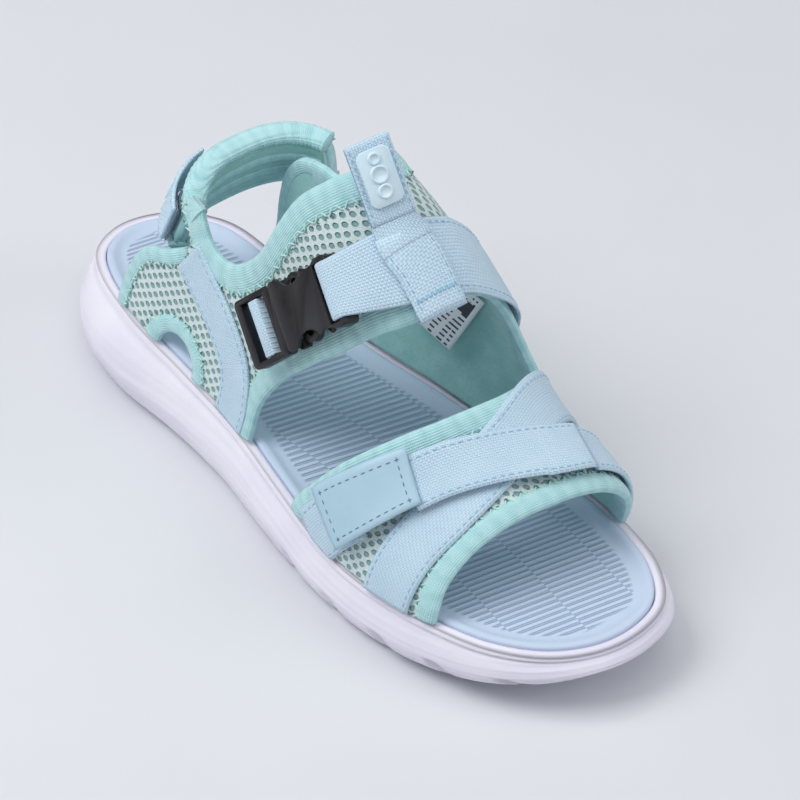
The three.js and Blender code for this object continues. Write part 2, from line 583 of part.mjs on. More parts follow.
const BUCKLE_FROM = [-17, 19.5];
const BUCKLE_TO = [6, 37];
const BUCKLE_LIFT = LAYER.over[1] + BUCKLE_THICKNESS / 2 + 1;
const MALE = { end: -BUCKLE_LENGTH / 2, shoulder: -5.5, frame: 3, window: 11, thickness: 4.6 };
const SOCKET = {
  mouth: -5, end: BUCKLE_LENGTH / 2, cavityEnd: 13.5, plate: 1.5, waist: 8.2, windowY: 5.5, windowR: 6.2, bar: 2.6, slot: 4,
};
const ARM = { x: 7.2, loopX: 8.6, loopY: 5.5, loopR: 3.7, hole: 1.5, width: 2.2, thickness: 3.2, root: -4.8 };

function buckleFrame() {
  const from = onForm(BUCKLE_FROM[0] * STRETCH, BUCKLE_FROM[1]);
  const to = onForm(BUCKLE_TO[0] * STRETCH, BUCKLE_TO[1]);
  const mid = from.clone().add(to).multiplyScalar(0.5);
  const lengthAxis = to.clone().sub(from).normalize();
  const centre = [(BUCKLE_FROM[0] + BUCKLE_TO[0]) / 2 * STRETCH, (BUCKLE_FROM[1] + BUCKLE_TO[1]) / 2];
  const normal = onForm(...centre, 1).sub(onForm(...centre, 0)).normalize();
  normal.addScaledVector(lengthAxis, -normal.dot(lengthAxis)).normalize();
  const across = lengthAxis.clone().cross(normal);
  const group = new THREE.Group();
  group.quaternion.setFromRotationMatrix(new THREE.Matrix4().makeBasis(across, lengthAxis, normal));
  group.position.copy(mid).addScaledVector(normal, BUCKLE_LIFT);
  object.add(group);
  return group;
}

// Flat plate of a drawn shape, centred on the buckle's mid plane
function plate(shape, thickness, middle = 0) {
  const geometry = new THREE.ExtrudeGeometry(shape, { depth: thickness, bevelEnabled: false, curveSegments: 8 });
  geometry.translate(0, 0, middle - thickness / 2);
  return solid(geometry);
}

function box(x0, x1, y0, y1, z0, z1) {
  const geometry = new THREE.BoxGeometry(x1 - x0, y1 - y0, z1 - z0);
  geometry.translate((x0 + x1) / 2, (y0 + y1) / 2, (z0 + z1) / 2);
  return solid(geometry);
}

function roundedOutline(x0, x1, y0, y1, radius) {
  const shape = new THREE.Shape();
  shape.moveTo(x0 + radius, y0);
  shape.lineTo(x1 - radius, y0);
  shape.absarc(x1 - radius, y0 + radius, radius, -Math.PI / 2, 0);
  shape.absarc(x1 - radius, y1 - radius, radius, 0, Math.PI / 2);
  shape.absarc(x0 + radius, y1 - radius, radius, Math.PI / 2, Math.PI);
  shape.absarc(x0 + radius, y0 + radius, radius, Math.PI, Math.PI * 1.5);
  return shape;
}

function buildBuckle() {
  const frame = buckleFrame();
  const half = BUCKLE_WIDTH / 2;
  const inner = WEBBING / 2 + 0.4;

  // Male frame: a window with a bar across it for the anchor webbing, and a guide tongue
  const windowEnd = MALE.end + MALE.frame + MALE.window;
  const barY = MALE.end + MALE.frame + MALE.window / 2;
  const male = plate(roundedOutline(-half, half, MALE.end, MALE.shoulder - CLEARANCE, 2), MALE.thickness)
    .subtract(box(-inner, inner, MALE.end + MALE.frame, windowEnd, -6, 6))
    .add(box(-inner - 0.5, inner + 0.5, barY - 0.9, barY + 0.9, -0.9, 0.9))
    .add(box(-1.5, 1.5, MALE.shoulder - 1, 10, -1.4, 1.4));
  addMesh('buckle_male', toGeometry(male), COLOUR.black, 0.4, frame);

  // Latch arms, one each side, with a round loop at the end
  [['buckle_latch_left', -1], ['buckle_latch_right', 1]].forEach(([name, side]) => {
    const bar = new THREE.Shape();
    bar.moveTo(side * (ARM.x - ARM.width / 2), ARM.root);
    bar.lineTo(side * (ARM.x + ARM.width / 2), ARM.root);
    bar.lineTo(side * (ARM.loopX + ARM.width / 2), ARM.loopY);
    bar.lineTo(side * (ARM.loopX - ARM.width / 2), ARM.loopY);
    const loop = new THREE.Shape();
    loop.absarc(side * ARM.loopX, ARM.loopY, ARM.loopR, 0, Math.PI * 2);
    const hole = new THREE.Shape();
    hole.absarc(side * ARM.loopX, ARM.loopY, ARM.hole, 0, Math.PI * 2);
    const arm = plate(bar, ARM.thickness).add(plate(loop, ARM.thickness)).subtract(plate(hole, ARM.thickness + 2));
    addMesh(name, toGeometry(arm), COLOUR.black, 0.4, frame);
  });

  // Socket: two plates joined at the slot end, open at the mouth and at both sides
  const body = plate(roundedOutline(-half, half, SOCKET.mouth, SOCKET.end, 1.5), BUCKLE_THICKNESS);
  let socket = body;
  [-1, 1].forEach((side) => {
    const window = new THREE.Shape();
    window.absarc(side * (SOCKET.waist + SOCKET.windowR), SOCKET.windowY, SOCKET.windowR, 0, Math.PI * 2);
    const waist = new THREE.Shape();
    waist.absarc(side * (half + 3.2), SOCKET.cavityEnd + 1, 5, 0, Math.PI * 2);
    socket = socket.subtract(plate(window, BUCKLE_THICKNESS + 2)).subtract(plate(waist, BUCKLE_THICKNESS + 2));
  });
  const cavity = BUCKLE_THICKNESS / 2 - SOCKET.plate;
  const slotY = SOCKET.end - SOCKET.bar;
  socket = socket
    .subtract(box(-half - 1, half + 1, SOCKET.mouth - 1, SOCKET.cavityEnd, -cavity, cavity))
    .subtract(box(-inner, inner, slotY - SOCKET.slot, slotY, -6, 6));
  addMesh('buckle_socket', toGeometry(socket), COLOUR.black, 0.4, frame);

  // Anchor webbing: a loop over the male bar, its two legs going down to the quarter
  const wrapGap = 0.9 + CLEARANCE;
  const legLow = -BUCKLE_LIFT + FIRST + 1.5;
  const wide = WEBBING / 2;
  const loop = box(-wide, wide, barY - wrapGap - 1, barY + wrapGap + 1, legLow, wrapGap + 1)
    .subtract(box(-wide - 1, wide + 1, barY - wrapGap, barY + wrapGap, legLow - 1, wrapGap));
  addMesh('buckle_anchor_webbing', toGeometry(loop), COLOUR.webbing, 0.85, frame);
  return frame;
}

// --- Pull tab with its badge, and the care label ---

const TAB = { from: [-1.5, 45], to: [4.5, 49.5], length: 29, thickness: 2.6, tilt: 20, swing: 20 };
const BADGE = { width: 12, length: 20, thickness: 0.9, from: 6 };

// Frame at the foot of the tab: x across, y up the tab, z away from the ankle
function tabFrame() {
  const lift = LAYER.top[0] + TAB.thickness / 2;
  const from = onForm(TAB.from[0] * STRETCH, TAB.from[1], lift);
  const to = onForm(TAB.to[0] * STRETCH, TAB.to[1], lift);
  const centre = [(TAB.from[0] + TAB.to[0]) / 2 * STRETCH, (TAB.from[1] + TAB.to[1]) / 2];
  const across = to.clone().sub(from).normalize();
  const out = onForm(...centre, lift + 1).sub(onForm(...centre, lift));
  out.addScaledVector(across, -out.dot(across)).normalize();
  const up = out.clone().cross(across);
  const group = new THREE.Group();
  group.quaternion.setFromRotationMatrix(new THREE.Matrix4().makeBasis(across, up, out));
  group.position.copy(from.add(to).multiplyScalar(0.5));
  group.rotateX(THREE.MathUtils.degToRad(TAB.tilt));
  group.rotateZ(THREE.MathUtils.degToRad(TAB.swing));
  object.add(group);
  return group;
}

function buildPullTab() {
  const frame = tabFrame();
  const half = TAB_WIDTH / 2;
  const tab = plate(roundedOutline(-half, half, 0, TAB.length, 2), TAB.thickness);
  addMesh('pull_tab', toGeometry(tab), COLOUR.webbing, 0.85, frame);
  const side = BADGE.width / 2;
  const face = TAB.thickness / 2 + 0.3 + BADGE.thickness / 2;
  const badge = plate(roundedOutline(-side, side, BADGE.from, BADGE.from + BADGE.length, 3), BADGE.thickness, face);
  addMesh('pull_tab_badge', toGeometry(badge), COLOUR.rubber, 0.5, frame);
}

const LABEL = { top: [9, 73], bottom: [-4, 90], width: 20, length: 32, thickness: 0.6, inside: 2.2 };

// Printed label, sewn in at its top edge and lying against the inside of the medial quarter
function buildLabel() {
  const top = onForm(LABEL.top[0] * STRETCH, LABEL.top[1], -LABEL.inside);
  const bottom = onForm(LABEL.bottom[0] * STRETCH, LABEL.bottom[1], -LABEL.inside);
  const down = bottom.sub(top).normalize();
  const beside = onForm((LABEL.top[0] + 5) * STRETCH, LABEL.top[1] + 1.5, -LABEL.inside).sub(top);
  const across = beside.addScaledVector(down, -beside.dot(down)).normalize();
  const group = new THREE.Group();
  group.quaternion.setFromRotationMatrix(new THREE.Matrix4().makeBasis(across, down, across.clone().cross(down)));
  group.position.copy(top);
  object.add(group);
  const side = LABEL.width / 2;
  addMesh('care_label', toGeometry(plate(roundedOutline(-side, side, 0, LABEL.length, 0.8), LABEL.thickness)), COLOUR.label, 0.8, group);
}

buildSole();
buildForefoot();
buildForefootWebbing();
buildClosureFlap();
buildQuarter(1);
buildQuarter(-1);
buildHeelStrap();
buildInstep(buildBuckle());
buildPullTab();
buildLabel();

export default object;
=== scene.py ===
import math

import bmesh
import bpy
import numpy as np
from mathutils import Matrix, Vector


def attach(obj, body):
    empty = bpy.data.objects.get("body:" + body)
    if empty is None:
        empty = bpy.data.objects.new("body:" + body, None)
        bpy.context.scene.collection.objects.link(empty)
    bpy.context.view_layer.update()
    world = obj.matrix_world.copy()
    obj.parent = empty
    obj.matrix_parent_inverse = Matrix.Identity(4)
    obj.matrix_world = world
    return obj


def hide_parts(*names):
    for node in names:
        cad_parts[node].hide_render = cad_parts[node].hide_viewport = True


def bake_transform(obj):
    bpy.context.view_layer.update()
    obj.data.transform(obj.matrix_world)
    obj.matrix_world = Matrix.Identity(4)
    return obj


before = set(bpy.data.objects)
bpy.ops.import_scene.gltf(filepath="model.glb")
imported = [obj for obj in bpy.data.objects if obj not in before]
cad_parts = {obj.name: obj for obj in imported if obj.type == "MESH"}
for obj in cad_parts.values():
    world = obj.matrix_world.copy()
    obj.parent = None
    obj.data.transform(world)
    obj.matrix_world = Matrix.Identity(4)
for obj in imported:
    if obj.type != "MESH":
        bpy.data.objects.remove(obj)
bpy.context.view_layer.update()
mm = 0.001

# ---------- foot form, the same as the part's: patterns are (station y, percent of girth) in mm ----------


def along(pairs):
    ys = np.array([p[0] for p in pairs], float)
    vs = np.array([p[1] for p in pairs], float)
    last = len(ys) - 1
    spans = [(max(i - 1, 0), min(i + 1, last)) for i in range(last + 1)]
    slopes = np.array([(vs[j] - vs[i]) / (ys[j] - ys[i]) for i, j in spans])

    def value(y):
        y = np.clip(np.asarray(y, float), ys[0], ys[-1])
        i = np.clip(np.searchsorted(ys, y), 1, last)
        span = ys[i] - ys[i - 1]
        t = (y - ys[i - 1]) / span
        h = t * t * (3 - 2 * t)
        bend = (t ** 3 - 2 * t * t + t) * slopes[i - 1] + (t ** 3 - t * t) * slopes[i]
        return vs[i - 1] + (vs[i] - vs[i - 1]) * h + bend * span
    return value


rimPoints = np.array([
    (0, -128.5), (18, -122), (30, -105), (36, -82), (36.5, -55), (39, -25), (45, 5), (49.5, 35), (49.5, 60),
    (46.5, 83), (39, 104), (25.5, 120), (8, 129), (-10, 130.5), (-26, 125.5), (-38, 111), (-44, 90),
    (-47.5, 65), (-46.5, 38), (-40.5, 8), (-34, -22), (-31, -50), (-31.5, -80), (-28.5, -105),
    (-18, -122)], float)
sole = {"inset": 4, "rimDrop": 1.2, "bulge": 3, "footbedThickness": 4.5, "fit": 0.4, "boardThickness": 1.6,
        "gap": 0.6}


def rimAt(count):  # centripetal spline through the rim points
    n = len(rimPoints)
    found = []
    for k in range(count):
        at = n * k / count
        i = int(at)
        w = at - i
        p = [rimPoints[(i + j - 1) % n] for j in range(4)]
        d = [max(np.hypot(*(p[j + 1] - p[j])) ** 0.5, 1e-4) for j in range(3)]
        t1 = ((p[1] - p[0]) / d[0] - (p[2] - p[0]) / (d[0] + d[1]) + (p[2] - p[1]) / d[1]) * d[1]
        t2 = ((p[2] - p[1]) / d[1] - (p[3] - p[1]) / (d[1] + d[2]) + (p[3] - p[2]) / d[2]) * d[1]
        found.append(p[1] + t1 * w + (-3 * p[1] + 3 * p[2] - 2 * t1 - t2) * w * w
                     + (2 * p[1] - 2 * p[2] + t1 + t2) * w ** 3)
    return np.array(found)


def outline(outset, count=720):
    points = rimAt(count)
    tangent = np.roll(points, -1, 0) - np.roll(points, 1, 0)
    tangent /= np.linalg.norm(tangent, axis=1)[:, None]
    return points + np.stack([tangent[:, 1], -tangent[:, 0]], 1) * outset


def edgeFinder(outset, side):
    points = outline(outset)
    points = points[points[:, 0] * side > 0]
    points = points[np.argsort(points[:, 1])]
    return lambda y: np.interp(y, points[:, 1], points[:, 0])


instep = 121
ball = 66
footbedHeight = along([(-130, 30), (-95, 35), (-50, 30), (0, 26.5), (45, 21), (90, 24), (130, 25)])
groundRise = along([(-130, 9), (-112, 2), (-98, 0), (0, 0), (55, 0), (75, 1.5), (95, 5), (115, 10),
                    (131, 15)])
ridgeHeight = along([(-100, instep + 39), (-60, instep + 31), (-30, instep + 17), (0, instep),
                     (25, instep * 0.4 + ball * 0.75), (50, ball + 2), (80, ball - 11), (105, ball - 16)])
ridgeX = along([(-100, 0), (-30, 0), (0, -3), (25, -6), (50, -8), (105, -10)])
leans = {1: along([(-100, 12), (-30, 12), (0, 11), (25, 8), (50, 3), (80, 0), (105, 0)]),
         -1: along([(-100, 2), (-60, 1), (-30, -2), (0, -6), (25, -9), (50, -10), (105, -4)])}
rises = {1: along([(-100, 0.6), (0, 0.58), (25, 0.5), (50, 0.45), (105, 0.45)]),
         -1: along([(-100, 0.6), (0, 0.62), (50, 0.58), (105, 0.55)])}
crowns = {1: along([(-100, 0.5), (25, 0.52), (105, 0.55)]),
          -1: along([(-100, 0.62), (0, 0.7), (50, 0.6), (105, 0.55)])}
formY = np.arange(-105.0, 108.1, 1.0)
formP = np.arange(0.0, 100.01, 0.5)


def buildForm():
    t = np.linspace(0, 1, 33)[None, :, None]
    halves = {}
    for side in (1, -1):
        height = ridgeHeight(formY) - footbedHeight(formY)
        base = np.stack([edgeFinder(-sole["inset"], side)(formY), formY, footbedHeight(formY)], 1)
        top = np.stack([ridgeX(formY), formY, ridgeHeight(formY)], 1)
        lean = np.radians(leans[side](formY))
        rise = height * rises[side](formY)
        wall = np.stack([base[:, 0] - side * np.sin(lean) * rise, formY, base[:, 2] + np.cos(lean) * rise], 1)
        roof = np.stack([top[:, 0] + (base[:, 0] - top[:, 0]) * crowns[side](formY), formY, top[:, 2]], 1)
        b, w, r, e = (v[:, None, :] for v in (base, wall, roof, top))
        points = (1 - t) ** 3 * b + 3 * (1 - t) ** 2 * t * w + 3 * (1 - t) * t * t * r + t ** 3 * e
        steps = np.linalg.norm(np.diff(points, axis=1), axis=2)
        lengths = np.concatenate([np.zeros((len(formY), 1)), np.cumsum(steps, 1)], 1)
        halves[side] = (points, lengths)
    grid = np.zeros((len(formY), len(formP), 3))
    for i in range(len(formY)):
        for side, share in ((1, formP[formP <= 50]), (-1, 100 - formP[formP > 50])):
            points, lengths = halves[side][0][i], halves[side][1][i]
            columns = slice(0, len(share)) if side > 0 else slice(len(formP) - len(share), len(formP))
            for c in range(3):
                grid[i, columns, c] = np.interp(share / 50 * lengths[-1], lengths, points[:, c])
    normals = np.cross(np.gradient(grid, axis=0), np.gradient(grid, axis=1))
    normals /= np.linalg.norm(normals, axis=2)[..., None]
    girths = {side: halves[side][1][:, -1] for side in (1, -1)}
    return grid, normals, girths


formGrid, formNormals, girths = buildForm()


def sampleForm(grid, y, p):
    fy = np.clip((np.asarray(y, float) - formY[0]), 0, len(formY) - 1.001)
    fp = np.clip(np.asarray(p, float) / 0.5, 0, len(formP) - 1.001)
    i, j = fy.astype(int), fp.astype(int)
    a, b = (fy - i)[..., None], (fp - j)[..., None]
    here = grid[i, j] * (1 - a) + grid[i + 1, j] * a
    beside = grid[i, j + 1] * (1 - a) + grid[i + 1, j + 1] * a
    return here * (1 - b) + beside * b


def normalOn(y, p):
    n = sampleForm(formNormals, y, p)
    return n / np.linalg.norm(n, axis=-1)[..., None]


def onForm(y, p, lift=0.0):
    return sampleForm(formGrid, y, p) + normalOn(y, p) * np.asarray(lift, float)[..., None]


def perPercent(y, p):  # true millimetres for each percent of girth
    return np.where(np.asarray(p) <= 50, np.interp(y, formY, girths[1]), np.interp(y, formY, girths[-1])) / 50


def line(points, step=1.5):  # uniform spline through the pattern points, evenly resampled
    pts = np.array(points, float)
    n = len(pts)
    found = []
    for k in range((n - 1) * 24 + 1):
        at = k / 24
        i = min(int(at), n - 1)
        w = at - i
        p0, p1, p2, p3 = pts[max(i - 1, 0)], pts[i], pts[min(i + 1, n - 1)], pts[min(i + 2, n - 1)]
        v0, v1 = (p2 - p0) / 2, (p3 - p1) / 2
        found.append((2 * p1 - 2 * p2 + v0 + v1) * w ** 3 + (-3 * p1 + 3 * p2 - 2 * v0 - v1) * w * w
                     + v0 * w + p1)
    return resampled(np.array(found), step)


def trueLengths(path):
    scale = perPercent(path[:, 0], path[:, 1])
    d = np.hypot(np.diff(path[:, 0]), np.diff(path[:, 1]) * scale[1:])
    return np.concatenate([[0], np.cumsum(d)])


def resampled(path, step):
    lengths = trueLengths(path)
    at = np.linspace(0, lengths[-1], max(int(lengths[-1] / step), 2) + 1)
    return np.stack([np.interp(at, lengths, path[:, 0]), np.interp(at, lengths, path[:, 1])], 1)


def moved(path, distance):
    scale = perPercent(path[:, 0], path[:, 1])
    tangent = np.gradient(path, axis=0) * np.stack([np.ones(len(path)), scale], 1)
    tangent /= np.linalg.norm(tangent, axis=1)[:, None]
    return path + np.stack([-tangent[:, 1], tangent[:, 0] / scale], 1) * distance


# ---------- mesh helpers ----------


def placed(name, data):  # a new object in the scene
    made = bpy.data.objects.new(name, data)
    bpy.context.scene.collection.objects.link(made)
    return made


def dress(mesh, material):
    mesh.materials.clear()
    mesh.materials.append(material)


def evaluated(piece):
    return piece.evaluated_get(bpy.context.evaluated_depsgraph_get())


def bake(piece):  # the modifiers' result becomes the mesh
    final = bpy.data.meshes.new_from_object(evaluated(piece))
    piece.modifiers.clear()
    piece.data = final


def unit(vectors):
    return vectors / np.linalg.norm(vectors, axis=-1)[..., None]


def distances(points):  # run along a line of points, from 0
    return np.concatenate([[0], np.cumsum(np.linalg.norm(np.diff(points, axis=0), axis=1))])


def outOf(local):  # a flat line's normals
    tangent = unit(np.gradient(local, axis=0))
    return np.stack([-tangent[:, 1], tangent[:, 0]], 1)


def setUv(mesh, uv):  # one pattern coordinate for each vertex
    layer = mesh.uv_layers.new(name="pattern")
    corner = np.zeros(len(mesh.loops), np.int32)
    mesh.loops.foreach_get("vertex_index", corner)
    layer.data.foreach_set("uv", np.asarray(uv, np.float32)[corner].ravel())


def makePiece(name, points, faces, material, uv=None):
    mesh = bpy.data.meshes.new(name)
    mesh.from_pydata((np.asarray(points, float) * mm).tolist(), [], faces)
    mesh.validate()
    if uv is not None:
        setUv(mesh, uv)
    mesh.shade_smooth()
    mesh.materials.append(material)
    return placed(name, mesh)


def gridFaces(rows, columns, closed=False):
    faces = []
    for i in range(rows - 1):
        for j in range(columns if closed else columns - 1):
            k = (j + 1) % columns
            faces.append((i * columns + j, i * columns + k, (i + 1) * columns + k, (i + 1) * columns + j))
    return faces


def section(power, count=11):  # closed loop across a tape: (share across, share of thickness)
    s = (1 - np.cos(np.linspace(0, np.pi, count))) / 2
    half = (1 - np.abs(2 * s - 1) ** power) ** (1 / power) / 2
    over = np.stack([s, 0.5 + half], 1)
    under = np.stack([s[1:-1], 0.5 - half[1:-1]], 1)[::-1]
    return np.concatenate([over, under])


def sweep(name, rows, material, uv, body, replaced=()):
    count = rows.shape[1]
    faces = gridFaces(len(rows), count, True)
    faces.append(tuple(range(count))[::-1])
    faces.append(tuple((len(rows) - 1) * count + j for j in range(count)))
    piece = makePiece(name, rows.reshape(-1, 3), faces, material, uv.reshape(-1, 2))
    turnOutwards(piece)
    return finishPiece(piece, body, replaced)


def turnOutwards(piece):
    bm = bmesh.new()
    bm.from_mesh(piece.data)
    bmesh.ops.recalc_face_normals(bm, faces=bm.faces)
    bm.to_mesh(piece.data)
    bm.free()


def finishPiece(piece, body, replaced=()):
    if isinstance(body, tuple):
        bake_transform(piece)
    else:
        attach(piece, body)
    if replaced:
        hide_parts(*replaced)
    return piece


def ribbon(name, path, fromTo, layer, material, body, power, wave=0.0):  # a tape along a pattern line
    shape = section(power)
    lengths = trueLengths(path)
    rows, uv = [], []
    for share, height in shape:
        offset = fromTo[0] + (fromTo[1] - fromTo[0]) * share
        at = moved(path, offset)
        ripple = wave * np.sin(lengths * 1.3 + share * 4) * (height > 0.5)
        lift = layer[0] + (layer[1] - layer[0]) * height + ripple
        rows.append(onForm(at[:, 0], np.clip(at[:, 1], 0.3, 99.7), lift))
        uv.append(np.stack([lengths, np.full(len(lengths), offset)], 1))
    return sweep(name, np.stack(rows, 1), material, np.stack(uv, 1), body, [name])


def inside(polygon, points):
    x, y = points[:, 0], points[:, 1]
    found = np.zeros(len(points), bool)
    for (x0, y0), (x1, y1) in zip(polygon, np.roll(polygon, -1, 0)):
        crosses = (y0 > y) != (y1 > y)
        at = x0 + (y - y0) * (x1 - x0) / (y1 - y0 + 1e-12)
        found ^= crosses & (x < at)
    return found


def thickened(piece, thickness):
    solid = piece.modifiers.new("thick", "SOLIDIFY")
    solid.thickness = thickness * mm
    bake(piece)


def panel(name, polygon, lift, material, holes=(), flip=False, step=1.3):  # a cut sheet
    low, high = polygon.min(0), polygon.max(0)
    ys = np.arange(low[0], high[0] + step, step)
    ps = np.linspace(max(low[1], 0.4), min(high[1], 99.6), int((high[1] - low[1]) * 2.2))
    gy, gp = np.meshgrid(ys, ps, indexing="ij")
    flat = np.stack([gy.ravel(), gp.ravel()], 1)
    kept = inside(polygon, flat)
    for hole in holes:
        kept &= ~inside(hole, flat)
    keptGrid = kept.reshape(gy.shape)
    uv = np.stack([gy.ravel(), (gp * perPercent(gy, gp)).ravel()], 1)
    faces = []
    columns = len(ps)
    for i in range(len(ys) - 1):
        for j in range(columns - 1):
            if keptGrid[i, j] and keptGrid[i + 1, j] and keptGrid[i, j + 1] and keptGrid[i + 1, j + 1]:
                quad = (i * columns + j, (i + 1) * columns + j, (i + 1) * columns + j + 1,
                        i * columns + j + 1)
                faces.append(quad[::-1] if flip else quad)
    used = np.unique(np.array(faces))
    order = np.full(len(flat), -1)
    order[used] = np.arange(len(used))
    points = onForm(flat[used, 0], flat[used, 1], np.full(len(used), lift))
    piece = makePiece(name, points, [tuple(int(order[v]) for v in face) for face in faces], material,
                      uv[used])
    thickened(piece, 0.5)
    finishPiece(piece, "sandal", [name])


# ---------- nodes ----------


def linear(code):  # sRGB hex to linear colour
    parts = [((code >> shift) & 255) / 255 for shift in (16, 8, 0)]
    return tuple(c / 12.92 if c <= 0.04045 else ((c + 0.055) / 1.055) ** 2.4 for c in parts) + (1.0,)


def put(tree, kind, settings=None, *values, out=0, **named):  # adds a node with its settings and links
    made = tree.nodes.new(kind)
    if isinstance(settings, str):
        settings = {"operation": settings}
    for key, value in (settings or {}).items():
        setattr(made, key, value)
    given = [(made.inputs[k], value) for k, value in enumerate(values)]
    for key, value in named.items():  # i6 is the socket's place, and Rotate_By its name
        given.append((made.inputs[int(key[1:]) if key[1:].isdigit() else key.replace("_", " ")], value))
    for socket, value in given:
        if isinstance(value, bpy.types.NodeSocket):
            tree.links.new(value, socket)
        else:
            socket.default_value = value
    return made.outputs[out]


maths, noise, mix, remap = "ShaderNodeMath", "ShaderNodeTexNoise", "ShaderNodeMix", "ShaderNodeMapRange"
rgba = {"data_type": "RGBA"}
smooth = {"interpolation_type": "SMOOTHSTEP"}


def surface(name, roughness, sheen=0.0, specular=0.4):
    made = bpy.data.materials.new(name)
    made.use_nodes = True
    shader = made.node_tree.nodes["Principled BSDF"]
    shader.inputs["Roughness"].default_value = roughness
    shader.inputs["Sheen Weight"].default_value = sheen
    shader.inputs["Specular IOR Level"].default_value = specular
    return made, made.node_tree, shader


def patternUv(tree):  # the piece's own pattern coordinates, in millimetres
    at = put(tree, "ShaderNodeUVMap", {"uv_map": "pattern"})
    split = put(tree, "ShaderNodeSeparateXYZ", None, at).node
    return at, split.outputs[0], split.outputs[1]


def objectMm(tree):  # object position in millimetres
    at = put(tree, "ShaderNodeTexCoord", out="Object")
    return put(tree, "ShaderNodeVectorMath", "SCALE", at, Scale=1000.0)


def coat(tree, shader, share, low, high, height, depth, strength):  # colour by share, relief by height
    low, high = (linear(colour) if isinstance(colour, int) else colour for colour in (low, high))
    tree.links.new(put(tree, mix, rgba, share, out=2, i6=low, i7=high), shader.inputs["Base Color"])
    relief = put(tree, "ShaderNodeBump", Height=height, Distance=depth, Strength=strength)
    tree.links.new(relief, shader.inputs["Normal"])


# ---------- materials ----------


def webbingMaterial(name, base, dark, pitch=1.15):  # polyester webbing, plain weave: matt with a slight sheen; colour is random patches plus painted shade where the weave lies low
    made, tree, shader = surface(name, 0.72, 0.25)
    uv, u, v = patternUv(tree)
    warp = put(tree, maths, "SINE", put(tree, maths, "MULTIPLY", u, math.pi / pitch))
    weft = put(tree, maths, "SINE", put(tree, maths, "MULTIPLY", v, math.pi / (pitch * 1.25)))
    weftOver = put(tree, maths, "GREATER_THAN", put(tree, maths, "MULTIPLY", warp, weft), 0.0)
    warpHeight = put(tree, maths, "MULTIPLY", put(tree, maths, "ABSOLUTE", warp), 0.75)
    weave = put(tree, mix, None, weftOver, i2=warpHeight, i3=put(tree, maths, "ABSOLUTE", weft))
    fibres = put(tree, noise, None, uv, Scale=3.0, Detail=4.0)
    height = put(tree, maths, "MULTIPLY_ADD", fibres, 0.35, weave)
    patches = put(tree, noise, None, uv, Scale=0.08, Detail=2.0)
    # random patches plus painted shade in the weave's low places
    patchesAndShade = put(tree, maths, "MULTIPLY_ADD", patches, 0.35, put(tree, maths, "MULTIPLY", height, 0.6))
    coat(tree, shader, put(tree, remap, smooth, patchesAndShade, 0.15, 0.85), dark, base, height, 0.00028, 0.8)
    return made


def knitMaterial(name, base, dark, pitch=0.75):  # fine knitted polyester tape: soft, matt, faint folds; the colour follows the relief, random tone from the noise and painted shade darkening the knit's troughs and fold creases
    made, tree, shader = surface(name, 0.88, 0.4)
    uv, u, v = patternUv(tree)

    def wave(way):  # rounded ridges at the pitch
        turn = put(tree, maths, "MULTIPLY", way, math.pi / pitch)
        return put(tree, maths, "ABSOLUTE", put(tree, maths, "SINE", turn))
    ridges, loops = wave(v), wave(u)
    soft = put(tree, noise, None, uv, Scale=0.25, Detail=3.0)
    wander = put(tree, maths, "MULTIPLY_ADD", soft, 3.0, put(tree, maths, "MULTIPLY", u, 2 * math.pi / 5.8))
    folds = put(tree, maths, "SINE", wander)
    knit = put(tree, maths, "MULTIPLY_ADD", loops, 0.35, put(tree, maths, "MULTIPLY", ridges, 0.6))
    height = put(tree, maths, "MULTIPLY_ADD", soft, 1.2, knit)
    height = put(tree, maths, "MULTIPLY_ADD", folds, 0.22, height)
    # colour from the height: painted shade in the low places, random tone from the noise
    coat(tree, shader, put(tree, remap, smooth, height, 0.2, 1.8), dark, base, height, 0.0004, 0.7)
    return made


def softKnitMaterial(name, base, dark):  # brushed knit on padded pieces: no pattern direction, no gloss; colour follows the relief, random tone from the noise and painted shade darkening the cell edges
    made, tree, shader = surface(name, 0.9, 0.4)
    at = objectMm(tree)
    cells = put(tree, "ShaderNodeTexVoronoi", Vector=at, Scale=1.1)
    soft = put(tree, noise, None, at, Scale=0.12, Detail=3.0)
    height = put(tree, maths, "MULTIPLY_ADD", soft, 1.4, put(tree, maths, "MULTIPLY", cells, -0.5))
    # colour from the height: painted shade at the cell edges, random tone from the noise
    coat(tree, shader, put(tree, remap, smooth, height, 0.1, 1.1), dark, base, height, 0.0003, 0.5)
    return made


meshHoles = {"along": 4.6, "across": 4.0, "holeAlong": 1.0, "holeAcross": 0.78}  # pitch and half size, mm


def airMeshMaterial(name, base, thread, hole):  # polyester spacer mesh with staggered oval holes; the dark hole colour is painted shade in the holes
    made, tree, shader = surface(name, 0.8, 0.3)
    uv, u, v = patternUv(tree)

    def ovalAt(shift):  # distance from a hole's middle, 1 at its edge
        parts = []
        for way, pitch, half in ((u, meshHoles["along"], meshHoles["holeAlong"]),
                                 (v, meshHoles["across"], meshHoles["holeAcross"])):
            cell = put(tree, maths, "ADD", put(tree, maths, "DIVIDE", way, pitch), shift)
            off = put(tree, maths, "SUBTRACT", put(tree, maths, "FRACT", cell), 0.5)
            off = put(tree, maths, "MULTIPLY", off, pitch / half)
            parts.append(put(tree, maths, "POWER", put(tree, maths, "ABSOLUTE", off), 2.0))
        return put(tree, maths, "SQRT", put(tree, maths, "ADD", *parts))
    wall = put(tree, remap, smooth, put(tree, maths, "MINIMUM", ovalAt(0.0), ovalAt(0.5)), 0.75, 1.25)
    strands = put(tree, noise, None, uv, Scale=2.2, Detail=5.0)
    strandShare = put(tree, remap, smooth, strands, 0.3, 0.7)
    cloth = put(tree, mix, rgba, strandShare, out=2, i6=linear(thread), i7=linear(base))
    height = put(tree, maths, "MULTIPLY_ADD", strands, 0.25, wall)
    # the holes take the dark hole colour: painted shade
    coat(tree, shader, wall, hole, cloth, height, 0.0011, 0.9)
    return made


